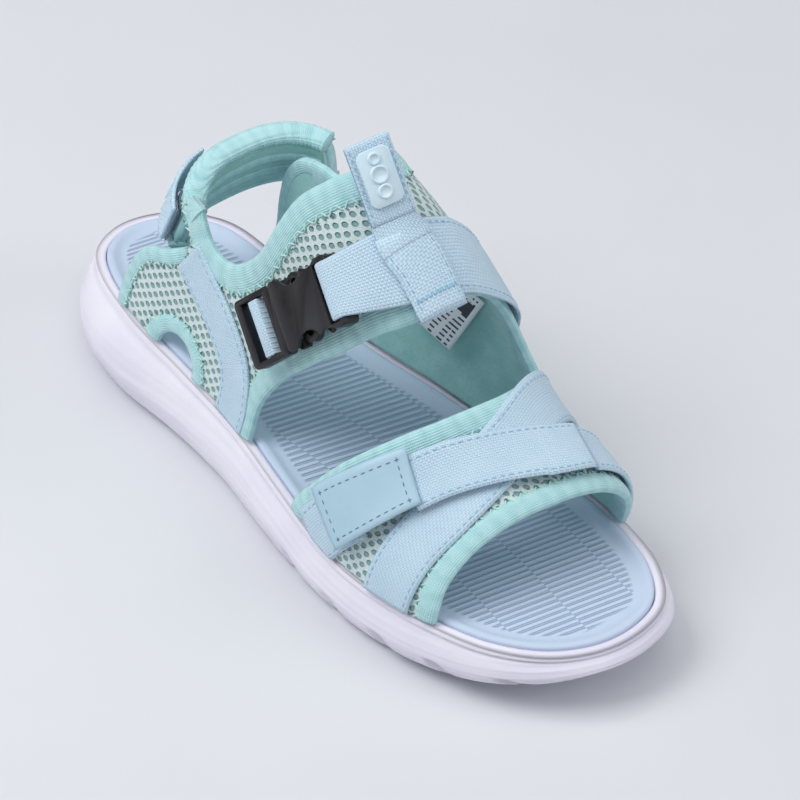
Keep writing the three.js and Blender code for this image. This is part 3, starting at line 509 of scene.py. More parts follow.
def foamMaterial(name, base, dark, grain=0.9, roughness=0.62):  # moulded foam: satin skin, light inside it
    made, tree, shader = surface(name, roughness, 0.0, 0.35)
    at = objectMm(tree)
    fine = put(tree, noise, None, at, Scale=grain, Detail=4.0)
    broad = put(tree, noise, None, at, Scale=0.02, Detail=2.0)
    shader.inputs["Subsurface Weight"].default_value = 0.12
    shader.inputs["Subsurface Radius"].default_value = (0.004, 0.003, 0.004)
    coat(tree, shader, put(tree, remap, smooth, broad, 0.3, 0.7), dark, base, fine, 0.00012, 0.35)
    return made


ribs = {"pitch": 2.5, "block": 24.0, "shift": 1.25, "slant": 0.2, "rimFrom": 7.0, "rimTo": 9.0}  # mm


def footbedMaterial(name, base, dark):  # moulded foam: matt, cross ribs in offset blocks; the grooves get the darker colour as painted shade
    made, tree, shader = surface(name, 0.66, 0.0, 0.35)
    at = objectMm(tree)
    split = put(tree, "ShaderNodeSeparateXYZ", None, at).node
    x, y = split.outputs[0], split.outputs[1]
    fromRim = patternUv(tree)[2]
    bow = put(tree, maths, "MULTIPLY", put(tree, maths, "SINE", put(tree, maths, "MULTIPLY", y, 0.035)), 5.0)
    across = put(tree, maths, "ADD", put(tree, maths, "ADD", x, bow), 4 * ribs["block"])
    block = put(tree, maths, "FLOOR", put(tree, maths, "DIVIDE", across, ribs["block"]))
    slanted = put(tree, maths, "MULTIPLY_ADD", x, ribs["slant"], y)
    lineAt = put(tree, maths, "ADD", slanted, put(tree, maths, "MULTIPLY", block, ribs["shift"]))
    rib = put(tree, maths, "SINE", put(tree, maths, "MULTIPLY", lineAt, 2 * math.pi / ribs["pitch"]))
    field = put(tree, remap, smooth, fromRim, ribs["rimFrom"], ribs["rimTo"])
    low = put(tree, maths, "SUBTRACT", 1.0, put(tree, remap, smooth, rib, -0.7, 0.1))
    groove = put(tree, maths, "SUBTRACT", 1.0, put(tree, maths, "MULTIPLY", low, field))
    fine = put(tree, noise, None, at, Scale=1.1, Detail=4.0)
    # darker colour in the rib grooves: painted shade
    coat(tree, shader, groove, dark, base, put(tree, maths, "MULTIPLY_ADD", fine, 0.12, groove), 0.0008, 0.8)
    return made


def plasticMaterial(name, base, worn):  # moulded acetal: satin black with faint handling marks
    made, tree, shader = surface(name, 0.36, 0.0, 0.5)
    at = objectMm(tree)
    fine = put(tree, noise, None, at, Scale=2.4, Detail=3.0)
    marks = put(tree, noise, None, at, Scale=0.25, Detail=4.0)
    tree.links.new(put(tree, remap, smooth, marks, 0.3, 0.8, 0.3, 0.48), shader.inputs["Roughness"])
    coat(tree, shader, marks, base, worn, fine, 0.00008, 0.4)
    return made


def smoothMaterial(name, base, dark, roughness=0.45, grain=1.4):  # coated synthetic or rubber: satin, fine
    made, tree, shader = surface(name, roughness, 0.0, 0.45)
    at = objectMm(tree)
    cells = put(tree, "ShaderNodeTexVoronoi", Vector=at, Scale=grain)
    coat(tree, shader, put(tree, noise, None, at, Scale=0.08, Detail=3.0), dark, base, cells, 0.00006, 0.5)
    return made


def pileMaterial(name, base, dark):  # nylon hook and loop pile: fuzzy and dull
    made, tree, shader = surface(name, 0.95, 0.5)
    fuzz = put(tree, noise, None, objectMm(tree), Scale=2.2, Detail=6.0)
    coat(tree, shader, put(tree, remap, smooth, fuzz, 0.35, 0.65), dark, base, fuzz, 0.0008, 1.0)
    return made


def labelMaterial(name, base, ink):  # woven satin label: slight gloss, plain printed bars and one block
    made, tree, shader = surface(name, 0.5, 0.2)
    uv, u, v = patternUv(tree)
    row = put(tree, maths, "FRACT", put(tree, maths, "DIVIDE", v, 2.6))
    bar = put(tree, maths, "GREATER_THAN", row, 0.62)
    stretched = put(tree, "ShaderNodeVectorMath", "MULTIPLY", uv, (0.45, 0.05, 0.0))
    dash = put(tree, maths, "GREATER_THAN", put(tree, noise, None, stretched, Scale=1.0, Detail=1.0), 0.47)
    edge = put(tree, maths, "LESS_THAN", put(tree, maths, "ABSOLUTE", u), 8.2)
    bars = put(tree, maths, "MULTIPLY", put(tree, maths, "MULTIPLY", bar, dash), edge)
    below, above = put(tree, maths, "GREATER_THAN", v, 5.0), put(tree, maths, "LESS_THAN", v, 12.0)
    block = put(tree, maths, "MULTIPLY", put(tree, maths, "MULTIPLY", below, above), edge)
    weave = put(tree, noise, None, uv, Scale=2.5, Detail=2.0)
    coat(tree, shader, put(tree, maths, "MAXIMUM", bars, block), base, ink, weave, 0.0001, 0.4)
    return made


def threadMaterial(name, base, dark):  # polyester sewing thread: slight sheen
    made, tree, shader = surface(name, 0.55, 0.2)
    twist = put(tree, noise, None, objectMm(tree), Scale=1.8, Detail=2.0)
    coat(tree, shader, twist, dark, base, twist, 0.0001, 0.5)
    return made


paint = {
    "sole": foamMaterial("foamMattWhite", 0xF0EDF7, 0xE4E0F0),
    "footbed": footbedMaterial("foamRibbedBlue", 0xC8D7EC, 0xA6BBD6),
    "mint": knitMaterial("knitTapeMint", 0xBEE9EC, 0x9ED3D7),
    "mintSoft": softKnitMaterial("paddedKnitMint", 0xBAE5E8, 0x9ED0D4),
    "lining": softKnitMaterial("liningKnitMint", 0xB4E0DB, 0x98CBC6),
    # the third colour is painted shade in the mesh holes
    "mesh": airMeshMaterial("airMeshMint", 0xE2EFEF, 0xC8DCDC, 0x7FA9AA),
    "webbing": webbingMaterial("webbingBlue", 0xD2E9F8, 0xAED0E8, 0.72),
    # a darker copy of the webbing: painted shade between the pull tab's plies
    "webbingPaintedShade": webbingMaterial("paintedShadeWebbing", 0x8DBAD6, 0x5F8FB0),
    "patch": smoothMaterial("coatedSyntheticBlue", 0xBAD7E6, 0xA8CADC),
    "pile": pileMaterial("hookAndLoopPile", 0x7E97AE, 0x4A6076),
    "black": plasticMaterial("acetalBlack", 0x121015, 0x1E1B20),
    "badge": smoothMaterial("rubberPaleBlue", 0xE2F3FB, 0xCBE6F3, 0.4, 2.0),
    "label": labelMaterial("satinLabel", 0xF1F2F3, 0x2C3238),
    # the thread's own mint, set a little lighter than the binding as painted highlight
    "threadMint": threadMaterial("threadMint", 0xC9EDE6, 0xA6DAD1),
    # dark colour for the needle holes: painted shade
    "pinholeShade": threadMaterial("paintedPinholeShade", 0x4E8C88, 0x3C7673),
    "threadBlue": threadMaterial("threadBlue", 0xA8D3EA, 0x7FB0CC),
    "threadDark": threadMaterial("threadSlate", 0x6F93A8, 0x55788C),
    "board": smoothMaterial("fibreBoard", 0xD9D2C0, 0xC9C0AA, 0.9),
}
print("materials made")

# ---------- stitches: one node tree lays a thread capsule at even steps along a line ----------


def stitchTree():
    tree = bpy.data.node_groups.new("stitchRun", "GeometryNodeTree")
    face = tree.interface
    face.new_socket("Geometry", in_out="INPUT", socket_type="NodeSocketGeometry")
    for label, value in (("Pitch", 0.003), ("Length", 0.0035), ("Radius", 0.0004), ("Tilt", 0.0)):
        face.new_socket(label, in_out="INPUT", socket_type="NodeSocketFloat").default_value = value
    face.new_socket("Thread", in_out="INPUT", socket_type="NodeSocketMaterial")
    face.new_socket("Geometry", in_out="OUTPUT", socket_type="NodeSocketGeometry")
    given = tree.nodes.new("NodeGroupInput")
    result = tree.nodes.new("NodeGroupOutput")
    curve = put(tree, "GeometryNodeMeshToCurve", Mesh=given.outputs["Geometry"])
    even = put(tree, "GeometryNodeResampleCurve", {"mode": "LENGTH"}, Curve=curve,
               Length=given.outputs["Pitch"])
    grain = put(tree, "GeometryNodeMeshUVSphere", Segments=6, Rings=5, Radius=1.0)
    halfLength = put(tree, maths, "MULTIPLY", given.outputs["Length"], 0.5)
    size = put(tree, "ShaderNodeCombineXYZ", None, halfLength, *[given.outputs["Radius"]] * 2)
    capsule = put(tree, "GeometryNodeTransform", Geometry=grain, Scale=size)
    lie = put(tree, "GeometryNodeInputNamedAttribute", {"data_type": "FLOAT_VECTOR"}, Name="lie")
    tangent = put(tree, "GeometryNodeInputTangent")
    first = put(tree, "FunctionNodeAlignRotationToVector", {"axis": "X"}, Vector=tangent)
    second = put(tree, "FunctionNodeAlignRotationToVector", {"axis": "Z", "pivot_axis": "X"}, Rotation=first,
                 Vector=lie)
    index = put(tree, "GeometryNodeInputIndex")
    odd = put(tree, maths, "MODULO", index, 2.0)
    sign = put(tree, maths, "MULTIPLY_ADD", odd, 2.0, -1.0)
    angle = put(tree, maths, "MULTIPLY", sign, given.outputs["Tilt"])
    turn = put(tree, "FunctionNodeAxisAngleToRotation", Axis=(0, 0, 1), Angle=angle)
    third = put(tree, "FunctionNodeRotateRotation", {"rotation_space": "LOCAL"}, Rotation=second,
                Rotate_By=turn)
    laid = put(tree, "GeometryNodeInstanceOnPoints", Points=even, Instance=capsule, Rotation=third)
    real = put(tree, "GeometryNodeRealizeInstances", Geometry=laid)
    shaded = put(tree, "GeometryNodeSetShadeSmooth", Geometry=real)
    dressed = put(tree, "GeometryNodeSetMaterial", Geometry=shaded, Material=given.outputs["Thread"])
    tree.links.new(dressed, result.inputs[0])
    return tree


stitches = stitchTree()


def stitchRun(name, points, normals, material, slot, body, pitch=3.0, length=2.4, radius=0.33, tilt=0.0):
    mesh = bpy.data.meshes.new(name + "Line")
    edges = [(i, i + 1) for i in range(len(points) - 1)]
    mesh.from_pydata((np.asarray(points) * mm).tolist(), edges, [])
    lie = mesh.attributes.new("lie", "FLOAT_VECTOR", "POINT")
    lie.data.foreach_set("vector", np.asarray(normals, np.float32).ravel())
    guide = placed(name + "Guide", mesh)
    modifier = guide.modifiers.new("stitches", "NODES")
    modifier.node_group = stitches
    values = {"Pitch": pitch * mm, "Length": length * mm, "Radius": radius * mm, "Tilt": tilt,
              "Thread": material}
    for item in stitches.interface.items_tree:
        if item.in_out == "INPUT" and item.name in values:
            modifier[item.identifier] = values[item.name]
    made = bpy.data.meshes.new_from_object(evaluated(guide))
    bpy.data.objects.remove(guide)
    if not made.materials:
        made.materials.append(material)
    return finishPiece(placed(name, made), body)


def stitchOnForm(name, path, offset, lift, material, slot, body="sandal", **how):
    at = moved(path, offset)
    keep = (at[:, 1] > 0.5) & (at[:, 1] < 99.5)
    at = at[keep]
    points = onForm(at[:, 0], at[:, 1], np.full(len(at), lift))
    return stitchRun(name, points, normalOn(at[:, 0], at[:, 1]), material, slot, body, **how)


# ---------- pattern lines, the same as the part's ----------

gap = 0.6
edgeStitch = {"pitch": 2.9, "length": 2.1, "radius": 0.25}
patchStitch = {"pitch": 2.8, "length": 1.9, "radius": 0.24}
layer = {"lining": (0, 1.0), "mesh": (1.6, 3.1), "binding": (0, 3.2), "strap": (3.8, 5.0),
         "over": (5.6, 6.8), "top": (7.4, 8.6)}
edges = {
    "forefootRear": line([(16, 0), (17.5, 3), (23, 8.5), (34, 20.5), (40.5, 29), (46, 39), (49, 51),
                          (47.5, 62), (44.5, 71), (43, 77)]),
    "forefootFront": line([(85, 0), (84.5, 4), (83, 11), (83, 21), (85, 33), (88.5, 46), (91, 60), (92, 78),
                           (89, 100)]),
    "instepLateral": line([(-13, 0), (-13, 7), (-6, 14.5), (3, 21), (13, 29), (20, 36.5), (24.5, 42),
                           (26.5, 50)]),
    "instepMedial": line([(26.5, 50), (26.5, 59), (28.5, 67), (33, 72.5), (38, 75.5), (43, 77)]),
    "collarLateral": line([(-64, 23.5), (-60, 21.4), (-55, 20), (-48, 20), (-41, 22), (-34, 26.5), (-30, 33),
                           (-26, 39), (-20, 44), (-13, 50)]),
    "collarMedial": line([(-13, 50), (-20, 56), (-28, 63), (-34, 69), (-42, 74), (-50, 76), (-56, 76.5),
                          (-62, 77.5)]),
    "heelLateral": line([(-91, 0), (-90.5, 4), (-87.5, 8.5), (-82, 11.5), (-74, 13.5), (-67, 16)]),
    "heelMedial": line([(-62, 77.5), (-69, 79.5), (-75, 83.5), (-77.5, 88.5), (-78, 94), (-80, 100)]),
}
width = {"collar": 9.5, "forefoot": 7.5, "instep": 8, "heelEdge": 5.5, "arch": 6.5}
arch = {"y": -58, "radius": 9.5}


def archLine(side, radius, count=25):
    scale = perPercent(arch["y"], 10 if side > 0 else 90)
    angle = np.linspace(0, np.pi, count)
    base = 0 if side > 0 else 100
    return np.stack([arch["y"] - radius * np.cos(angle), base + side * radius * np.sin(angle) / scale], 1)


# ---------- sole ----------


heelFlare = along([(-131, 0), (-122, 0.5), (-108, 1), (-80, 1), (-50, 0.3), (-20, 0)])


def soleRing(stations, outset, height, push=None, flare=0.0):
    points = outline(outset)
    first, last = int(points[:, 1].argmin()), int(points[:, 1].argmax())
    low, high = points[first, 1], points[last, 1]
    ys = low + (high - low) * stations
    points = np.roll(points, -first, 0)
    turn = (last - first) % len(points)
    up, down = points[:turn + 1], np.concatenate([points[turn:], points[:1]])[::-1]
    right = np.stack([np.interp(ys, np.maximum.accumulate(up[:, 1]), up[:, 0])
                      + flare * heelFlare(ys), ys], 1)
    left = np.stack([np.interp(ys, np.maximum.accumulate(down[:, 1]), down[:, 0]), ys], 1)[::-1]
    ring = np.concatenate([right, left])
    if push:
        tangent = np.roll(ring, -1, 0) - np.roll(ring, 1, 0)
        tangent /= np.linalg.norm(tangent, axis=1)[:, None] + 1e-9
        ring = ring + np.stack([tangent[:, 1], -tangent[:, 0]], 1) * push(ring)[:, None]
    return np.concatenate([ring, height(ring[:, 1])[:, None]], 1)


def ground(y):
    return np.maximum(0, groundRise(y))


def rimHeight(y):
    return footbedHeight(y) - sole["rimDrop"]


def smoothstep(x, low, high):
    t = np.clip((x - low) / (high - low), 0, 1)
    return t * t * (3 - 2 * t)


def sculpt(ring, share):
    # flowing facets on the side: a sweep from the heel, chunky notches near the ground, a bead under the rim
    x, y = ring[:, 0], ring[:, 1]
    side = np.where(x > 0, 1, -1)
    heelward = smoothstep(-y, 10, 70)
    flow = np.zeros_like(y)
    for k, level in enumerate((0.3, 0.47, 0.63)):
        wave = level + 0.1 * np.sin((y + 40 + 31 * k) / (27 + 5 * k)) * side + 0.0012 * (y + 20)
        edge = smoothstep(share - wave, -0.035, 0.035) * (0.85 - 0.15 * k)
        flow += edge - 0.5 * np.exp(-((share - wave - 0.05) / 0.04) ** 2)
    sweepLine = 0.72 - 0.25 * heelward
    step = smoothstep(share - sweepLine, -0.06, 0.06) * 0.5 + flow
    notchPhase = np.abs(((y + 8) / 23 + share * 0.8) % 1 - 0.5)
    notch = smoothstep(0.14 - notchPhase, 0.0, 0.07) * smoothstep(0.42 - share, 0.0, 0.12)
    notch = notch * smoothstep(share, 0.04, 0.1) * smoothstep(y, 0, 25)
    bead = np.exp(-((share - 0.93) / 0.035) ** 2) * 0.5
    groove = np.exp(-((share - 0.86) / 0.02) ** 2) * 0.55
    return -step * 0.7 - notch * 1.9 + bead - groove


tread = {"depth": 2.4, "barPitch": 11, "middle": 2, "cell": 24.0, "chevronPitch": 9, "heelEnd": -60,
         "archEnd": -5, "toeStart": 95}


def treadDepth(x, y):
    # heel bars, a large V in the arch, triangles in the forefoot and chevrons at the toe
    heel = np.abs(((y - x * 0.25) / tread["barPitch"]) % 1 - 0.5) < 0.1
    heel |= np.abs(x - tread["middle"]) < 1.1
    vee = np.abs(np.abs(x - tread["middle"]) * 1.4 - (y + 62)) < 2.2
    u = (x + 60) / tread["cell"]
    v = (y - 30) / tread["cell"]
    row = np.floor(v)
    slant = np.abs(((u + row * 0.5 + v * 0.5) % 1) - 0.5) < 0.06
    slant |= np.abs(((u + row * 0.5 - v * 0.5) % 1) - 0.5) < 0.06
    slant |= np.abs((v % 1) - 0.5) > 0.45
    chevron = np.abs(((y + np.abs(x) * 0.5) / tread["chevronPitch"]) % 1 - 0.5) < 0.12
    front = np.where(y < tread["toeStart"], slant, chevron)
    return np.where(y < tread["heelEnd"], heel, np.where(y < tread["archEnd"], vee, front)).astype(float)


def acrossRing(ring, count, across):  # rows of points from a ring's right side to its left
    right, left = ring[:count], ring[count:][::-1]
    share = np.linspace(0, 1, across + 1)[1:-1]
    inner = right[:, None, :] * (1 - share[None, :, None]) + left[:, None, :] * share[None, :, None]
    near = np.minimum(share, 1 - share)[None, :] * np.abs(right[:, 0] - left[:, 0])[:, None]
    return right, inner, near


def closeAcross(faces, size, count, across, base, start):  # joins those rows to the ring's points
    def vertex(i, j):
        if j == 0:
            return base + i
        if j == across:
            return base + size - 1 - i
        return start + i * (across - 1) + j - 1
    for i in range(count - 1):
        for j in range(across):
            faces.append((vertex(i, j), vertex(i, j + 1), vertex(i + 1, j + 1), vertex(i + 1, j)))
    for i in (0, count - 1):
        faces.append(tuple(vertex(i, j) for j in range(across + 1)))


def buildSole():
    count = 260
    stations = (1 - np.cos(np.pi * (np.arange(count) + 0.5) / count)) / 2
    rings = []
    profile = [(-5.0, 0.0), (-3.2, 0.01), (-1.6, 0.035), (-0.4, 0.08), (0.8, 0.15), (1.7, 0.24), (2.5, 0.34),
               (3.0, 0.45), (2.9, 0.55), (2.6, 0.64), (2.2, 0.72), (1.7, 0.79), (1.2, 0.85), (1.0, 0.88),
               (1.0, 0.91), (0.9, 0.94), (0.5, 0.975), (0.0, 1.0)]
    fine = []
    for (o0, s0), (o1, s1) in zip(profile, profile[1:]):
        parts = max(1, int((s1 - s0) / 0.025))
        fine += [(o0 + (o1 - o0) * k / parts, s0 + (s1 - s0) * k / parts) for k in range(parts)]
    fine.append(profile[-1])
    for outset, share in fine:
        flare = 4 * math.sin(math.pi * min(share * 1.1, 1)) ** 0.7
        rings.append(soleRing(stations, outset, lambda y, s=share: ground(y) + (rimHeight(y) - ground(y)) * s,
                              lambda ring, s=share: sculpt(ring, s), flare))
    recess = sole["inset"] + sole["fit"]
    rings.append(soleRing(stations, -0.8, lambda y: rimHeight(y) + 0.25))
    rings.append(soleRing(stations, -recess + 0.8, lambda y: rimHeight(y) + 0.25))
    rings.append(soleRing(stations, -recess, rimHeight))
    rings.append(soleRing(stations, -recess, lambda y: footbedHeight(y) - sole["footbedThickness"]))
    size = len(rings[0])
    points = np.concatenate(rings)
    faces = gridFaces(len(rings), size, True)
    across = 110
    inner, near = acrossRing(rings[0], count, across)[1:]
    inner[..., 2] += treadDepth(inner[..., 0], inner[..., 1]) * tread["depth"] * smoothstep(near, 1.5, 4.0)
    closeAcross(faces, size, count, across, 0, len(points))
    points = np.concatenate([points, inner.reshape(-1, 3)])
    top = (len(rings) - 1) * size
    for i in range(count - 1):
        faces.append((top + i, top + i + 1, top + size - 2 - i, top + size - 1 - i))
    piece = makePiece("soleUnit", points, faces, paint["sole"])
    turnOutwards(piece)
    finishPiece(piece, "sandal", ["unit_sole"])


def buildFootbed():
    count = 200
    stations = (1 - np.cos(np.pi * (np.arange(count) + 0.5) / count)) / 2
    inset = -(sole["inset"] + 2 * sole["fit"])
    rings = [soleRing(stations, inset + a, lambda y, b=b: footbedHeight(y) + b) for a, b in
             ((0, -sole["footbedThickness"]), (0, -0.8), (-0.25, -0.3), (-0.8, 0), (-2.0, 0.05),
              (-3.0, -0.4), (-4.2, -1.1), (-6.0, -1.6))]
    size = len(rings[0])
    points = np.concatenate(rings)
    reach = np.repeat([0, 0, 0.3, 0.8, 2.0, 3.0, 4.2, 6.0], size)
    faces = gridFaces(len(rings), size, True)
    across = 30
    for ringIndex, ring in ((0, rings[0]), (len(rings) - 1, rings[-1])):
        right, inner, near = acrossRing(ring, count, across)
        ahead = np.minimum(right[:, 1] - right[0, 1], right[-1, 1] - right[:, 1])[:, None]
        reach = np.concatenate([reach, (6 + np.minimum(near, ahead)).ravel()])
        closeAcross(faces, size, count, across, ringIndex * size, len(points))
        points = np.concatenate([points, inner.reshape(-1, 3)])
    piece = makePiece("footbedPad", points, faces, paint["footbed"], np.stack([points[:, 0], reach], 1))
    turnOutwards(piece)
    finishPiece(piece, "sandal", ["footbed"])


buildSole()
buildFootbed()
dress(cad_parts["lasting_board"].data, paint["board"])
print("sole made")

# ---------- forefoot ----------


def binding(name, path, fromTo, stitchAt):  # folded knit tape, its zigzag, and small dark marks painted as shade in the needle holes
    low, high = layer["binding"]
    ribbon(name, path, fromTo, (low - 0.1, high + 0.9), paint["mint"], "sandal", 2.6, 0.05)
    stitchOnForm(name + "_stitches", path, stitchAt, high + 0.35, paint["threadMint"], "binding_knit",
                 pitch=2.9, length=4.4, radius=0.4, tilt=0.9)
    # small dark capsules on each side of the zigzag: painted shade in the needle holes
    for shift in (-1.55, 1.55):
        word = "_pinholes_in" if shift < 0 else "_pinholes_out"
        stitchOnForm(name + word, path, stitchAt + shift, high + 0.45, paint["pinholeShade"], "binding_knit",
                     pitch=2.9, length=0.9, radius=0.32)


def buildForefoot():
    half = width["forefoot"] / 2
    rear, front = moved(edges["forefootRear"], -half), moved(edges["forefootFront"], half)
    polygon = np.concatenate([rear, [(43 + half, 100)], front[::-1]])
    panel("forefoot_mesh", polygon, layer["mesh"][1], paint["mesh"])
    panel("forefoot_lining", polygon, layer["lining"][0] + 0.3, paint["lining"],
          flip=True)
    binding("forefoot_rear_binding", edges["forefootRear"], (0, -width["forefoot"]), -width["forefoot"] + 0.9)
    binding("forefoot_front_binding", edges["forefootFront"], (0, width["forefoot"]), width["forefoot"] - 0.9)


wide = 19


def webbing(name, points, layerName, body="sandal", half=wide / 2):  # a tape and its two rows of stitches
    path = line(points)
    low, high = layer[layerName]
    ribbon(name, path, (half, -half), (low - 0.4, high), paint["webbing"], body, 9.0)
    for side, word in ((1, "rear"), (-1, "front")):
        stitchOnForm(name + "_" + word + "_stitches", path[2:-2], side * (half - 1.8), high,
                     paint["threadBlue"], "webbing", body, **edgeStitch)


def buildForefootWebbing():
    webbing("forefoot_fixed_webbing", [(66, 0), (66, 12), (67, 24), (66, 36), (62, 50), (55, 64), (51, 78),
                                       (50, 100)], "strap")
    webbing("forefoot_anchor_webbing", [(31, 0), (37, 7), (43, 13)], "strap")
    webbing("forefoot_closure_root", [(76, 64.6), (77, 80), (77, 100)], "over")
    webbing("forefoot_closure_webbing", [(52.5, 23.5), (57, 30), (64, 39), (70, 47.5), (74, 55), (76, 64)],
            "top", "forefoot_flap")
    patch = line([(37, 8), (44.5, 16.5), (51.5, 25.5)])
    low = layer["top"][1] + gap
    ribbon("forefoot_closure_patch", patch, (wide / 2 + 0.5, -wide / 2 - 0.5), (low - 0.5, low + 1.2),
           paint["patch"], "forefoot_flap", 8.0)
    inset = wide / 2 - 2.2
    runs = [("rear", patch[2:-2], inset), ("front", patch[2:-2], -inset)]
    for end, word in ((2, "end"), (-3, "root")):
        runs.append((word, np.stack([moved(patch, d)[end] for d in np.linspace(inset, -inset, 12)]), 0))
    for word, path, offset in runs:
        stitchOnForm("patch_" + word + "_stitches", path, offset, low + 1.2, paint["threadDark"],
                     "smooth_synthetic", "forefoot_flap", **patchStitch)


for node in ("forefoot_loop_tape", "forefoot_hook_tape", "heel_loop_tape", "heel_hook_tape"):
    dress(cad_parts[node].data, paint["pile"])
buildForefoot()
buildForefootWebbing()
print("forefoot made")

# ---------- quarters ----------


stays = {1: [(-25, 0), (-25, 4), (-29, 8.5), (-41, 12), (-53, 14.2), (-63, 16)],
         -1: [(-31, 100), (-31, 95), (-37, 90.5), (-48, 87), (-60, 84.5)]}


def buildQuarter(side):
    word = "lateral" if side > 0 else "medial"
    collar = edges["collarLateral" if side > 0 else "collarMedial"]
    heel = edges["heelLateral" if side > 0 else "heelMedial"]
    front = edges["instepLateral" if side > 0 else "instepMedial"]
    inCollar, inHeel = moved(collar, -width["collar"] / 2), moved(heel, -width["heelEdge"] / 2)
    inFront = moved(front, width["instep"] / 2)
    if side > 0:
        polygon = np.concatenate([inHeel, inCollar, [(-8, 50), (22, 50)], inFront[::-1]])
    else:
        polygon = np.concatenate([[(22, 50)], inFront, [(43, 80), (43, 100)], inHeel[::-1], inCollar[::-1],
                                  [(-8, 50)]])
    hole = archLine(side, arch["radius"] + width["arch"] / 2)
    hole = np.concatenate([hole, hole[::-1] + np.array([0, -side * 10.0])])
    panel(word + "_quarter_mesh", polygon, layer["mesh"][1], paint["mesh"],
          [hole])
    panel(word + "_quarter_lining", polygon, layer["lining"][0] + 0.3, paint["lining"],
          [hole], True)
    binding(word + "_collar_binding", collar, (0, -width["collar"]), -width["collar"] + 1.0)
    binding(word + "_heel_binding", heel, (0, -width["heelEdge"]), -width["heelEdge"] + 0.8)
    binding(word + "_front_binding", front, (0, width["instep"]), width["instep"] - 1.0)
    archPath = archLine(side, arch["radius"])
    binding(word + "_arch_binding", archPath, (0, side * width["arch"]), side * (width["arch"] - 0.8))
    webbing(word + "_stay_webbing", stays[side], "strap", half=8)


buildQuarter(1)
buildQuarter(-1)
print("quarters made")

# ---------- heel strap ----------

heel = {"x": -3, "y": -58, "lateral": 24.5, "medial": 37, "depth": 24, "square": 2.6, "lean": 0.01,
        "start": 32, "end": 160, "pad": 5, "split": 84}  # start, end and split in degrees round the heel
heelMiddle = along([(0, 70), (90, 80), (180, 78)])
heelHeight = along([(0, 15), (45, 22), (90, 27), (180, 25)])


def heelPoint(angle, up):
    turn = np.radians(angle)
    power = 2 / heel["square"]
    c, s = np.cos(turn), np.sin(turn)
    taper = 1 - heel["lean"] * up
    reach = np.where(c > 0, heel["lateral"], heel["medial"]) * taper
    x = heel["x"] + reach * np.sign(c) * np.abs(c) ** power
    y = heel["y"] - heel["depth"] * taper * np.abs(s) ** power
    return np.stack([x, y, heelMiddle(angle) + up], -1)


def onHeel(angle, up, lift):
    angle, up, lift = np.broadcast_arrays(np.asarray(angle, float), np.asarray(up, float),
                                          np.asarray(lift, float))
    a = heelPoint(angle + 2, up) - heelPoint(angle - 2, up)
    b = heelPoint(angle, up + 1) - heelPoint(angle, up - 1)
    n = np.cross(a, b)
    n /= np.linalg.norm(n, axis=-1)[..., None]
    return heelPoint(angle, up) - n * lift[..., None], -n


def heelRibbon(name, angles, shares, lifts, material, body, power=6.0, steps=70, ripple=0.0,
               replaced=None, crown=0.0):
    shape = section(power, 15)
    angle = np.linspace(angles[0], angles[1], steps + 1)
    start = onHeel(angle, 0, 0)[0]
    lengths = distances(start)
    rows, uv = [], []
    for across, height in shape:
        half = heelHeight(angle) / 2
        up = (shares[0] + (shares[1] - shares[0]) * across) * half
        swell = crown * (1 - (2 * across - 1) ** 2) * (1 if height > 0.5 else -0.6)
        lift = lifts[0] + (lifts[1] - lifts[0]) * height + swell
        lift = lift + ripple * np.sin(lengths * 2 * np.pi / 1.9) * (1 if height > 0.5 else -1)
        rows.append(onHeel(angle, up, lift)[0])
        uv.append(np.stack([lengths, up], 1))
    return sweep(name, np.stack(rows, 1), material, np.stack(uv, 1), body,
                 [name] if replaced is None else replaced)


def heelStitches(name, angles, share, lift, material, slot, body, **how):
    angle = np.linspace(angles[0], angles[1], 90)
    points, normals = onHeel(angle, share * heelHeight(angle) / 2, lift)
    return stitchRun(name, points, normals, material, slot, body, **how)


def puffed(piece, pinned, cap, pressure=4.0):
    # cloth pressure swells the pad between its pinned edges
    group = piece.vertex_groups.new(name="held")
    group.add([int(i) for i in pinned], 1.0, "REPLACE")
    before = np.array([v.co for v in piece.data.vertices])
    modifier = piece.modifiers.new("puff", "CLOTH")
    modifier.settings.quality = 6
    modifier.settings.mass = 0.15
    modifier.settings.tension_stiffness = 20
    modifier.settings.compression_stiffness = 20
    modifier.settings.use_pressure = True
    modifier.settings.uniform_pressure_force = pressure
    modifier.settings.vertex_group_mass = "held"
    modifier.settings.effector_weights.gravity = 0
    scene = bpy.context.scene
    for number in range(1, 21):
        scene.frame_set(number)
    after = np.array([v.co for v in evaluated(piece).data.vertices])
    move = after - before
    far = np.linalg.norm(move, axis=1)
    move *= np.minimum(1, cap * mm / np.maximum(far, 1e-9))[:, None]
    piece.modifiers.remove(modifier)
    piece.data.vertices.foreach_set("co", (before + move).astype(np.float32).ravel())
    piece.data.update()
    scene.frame_set(1)


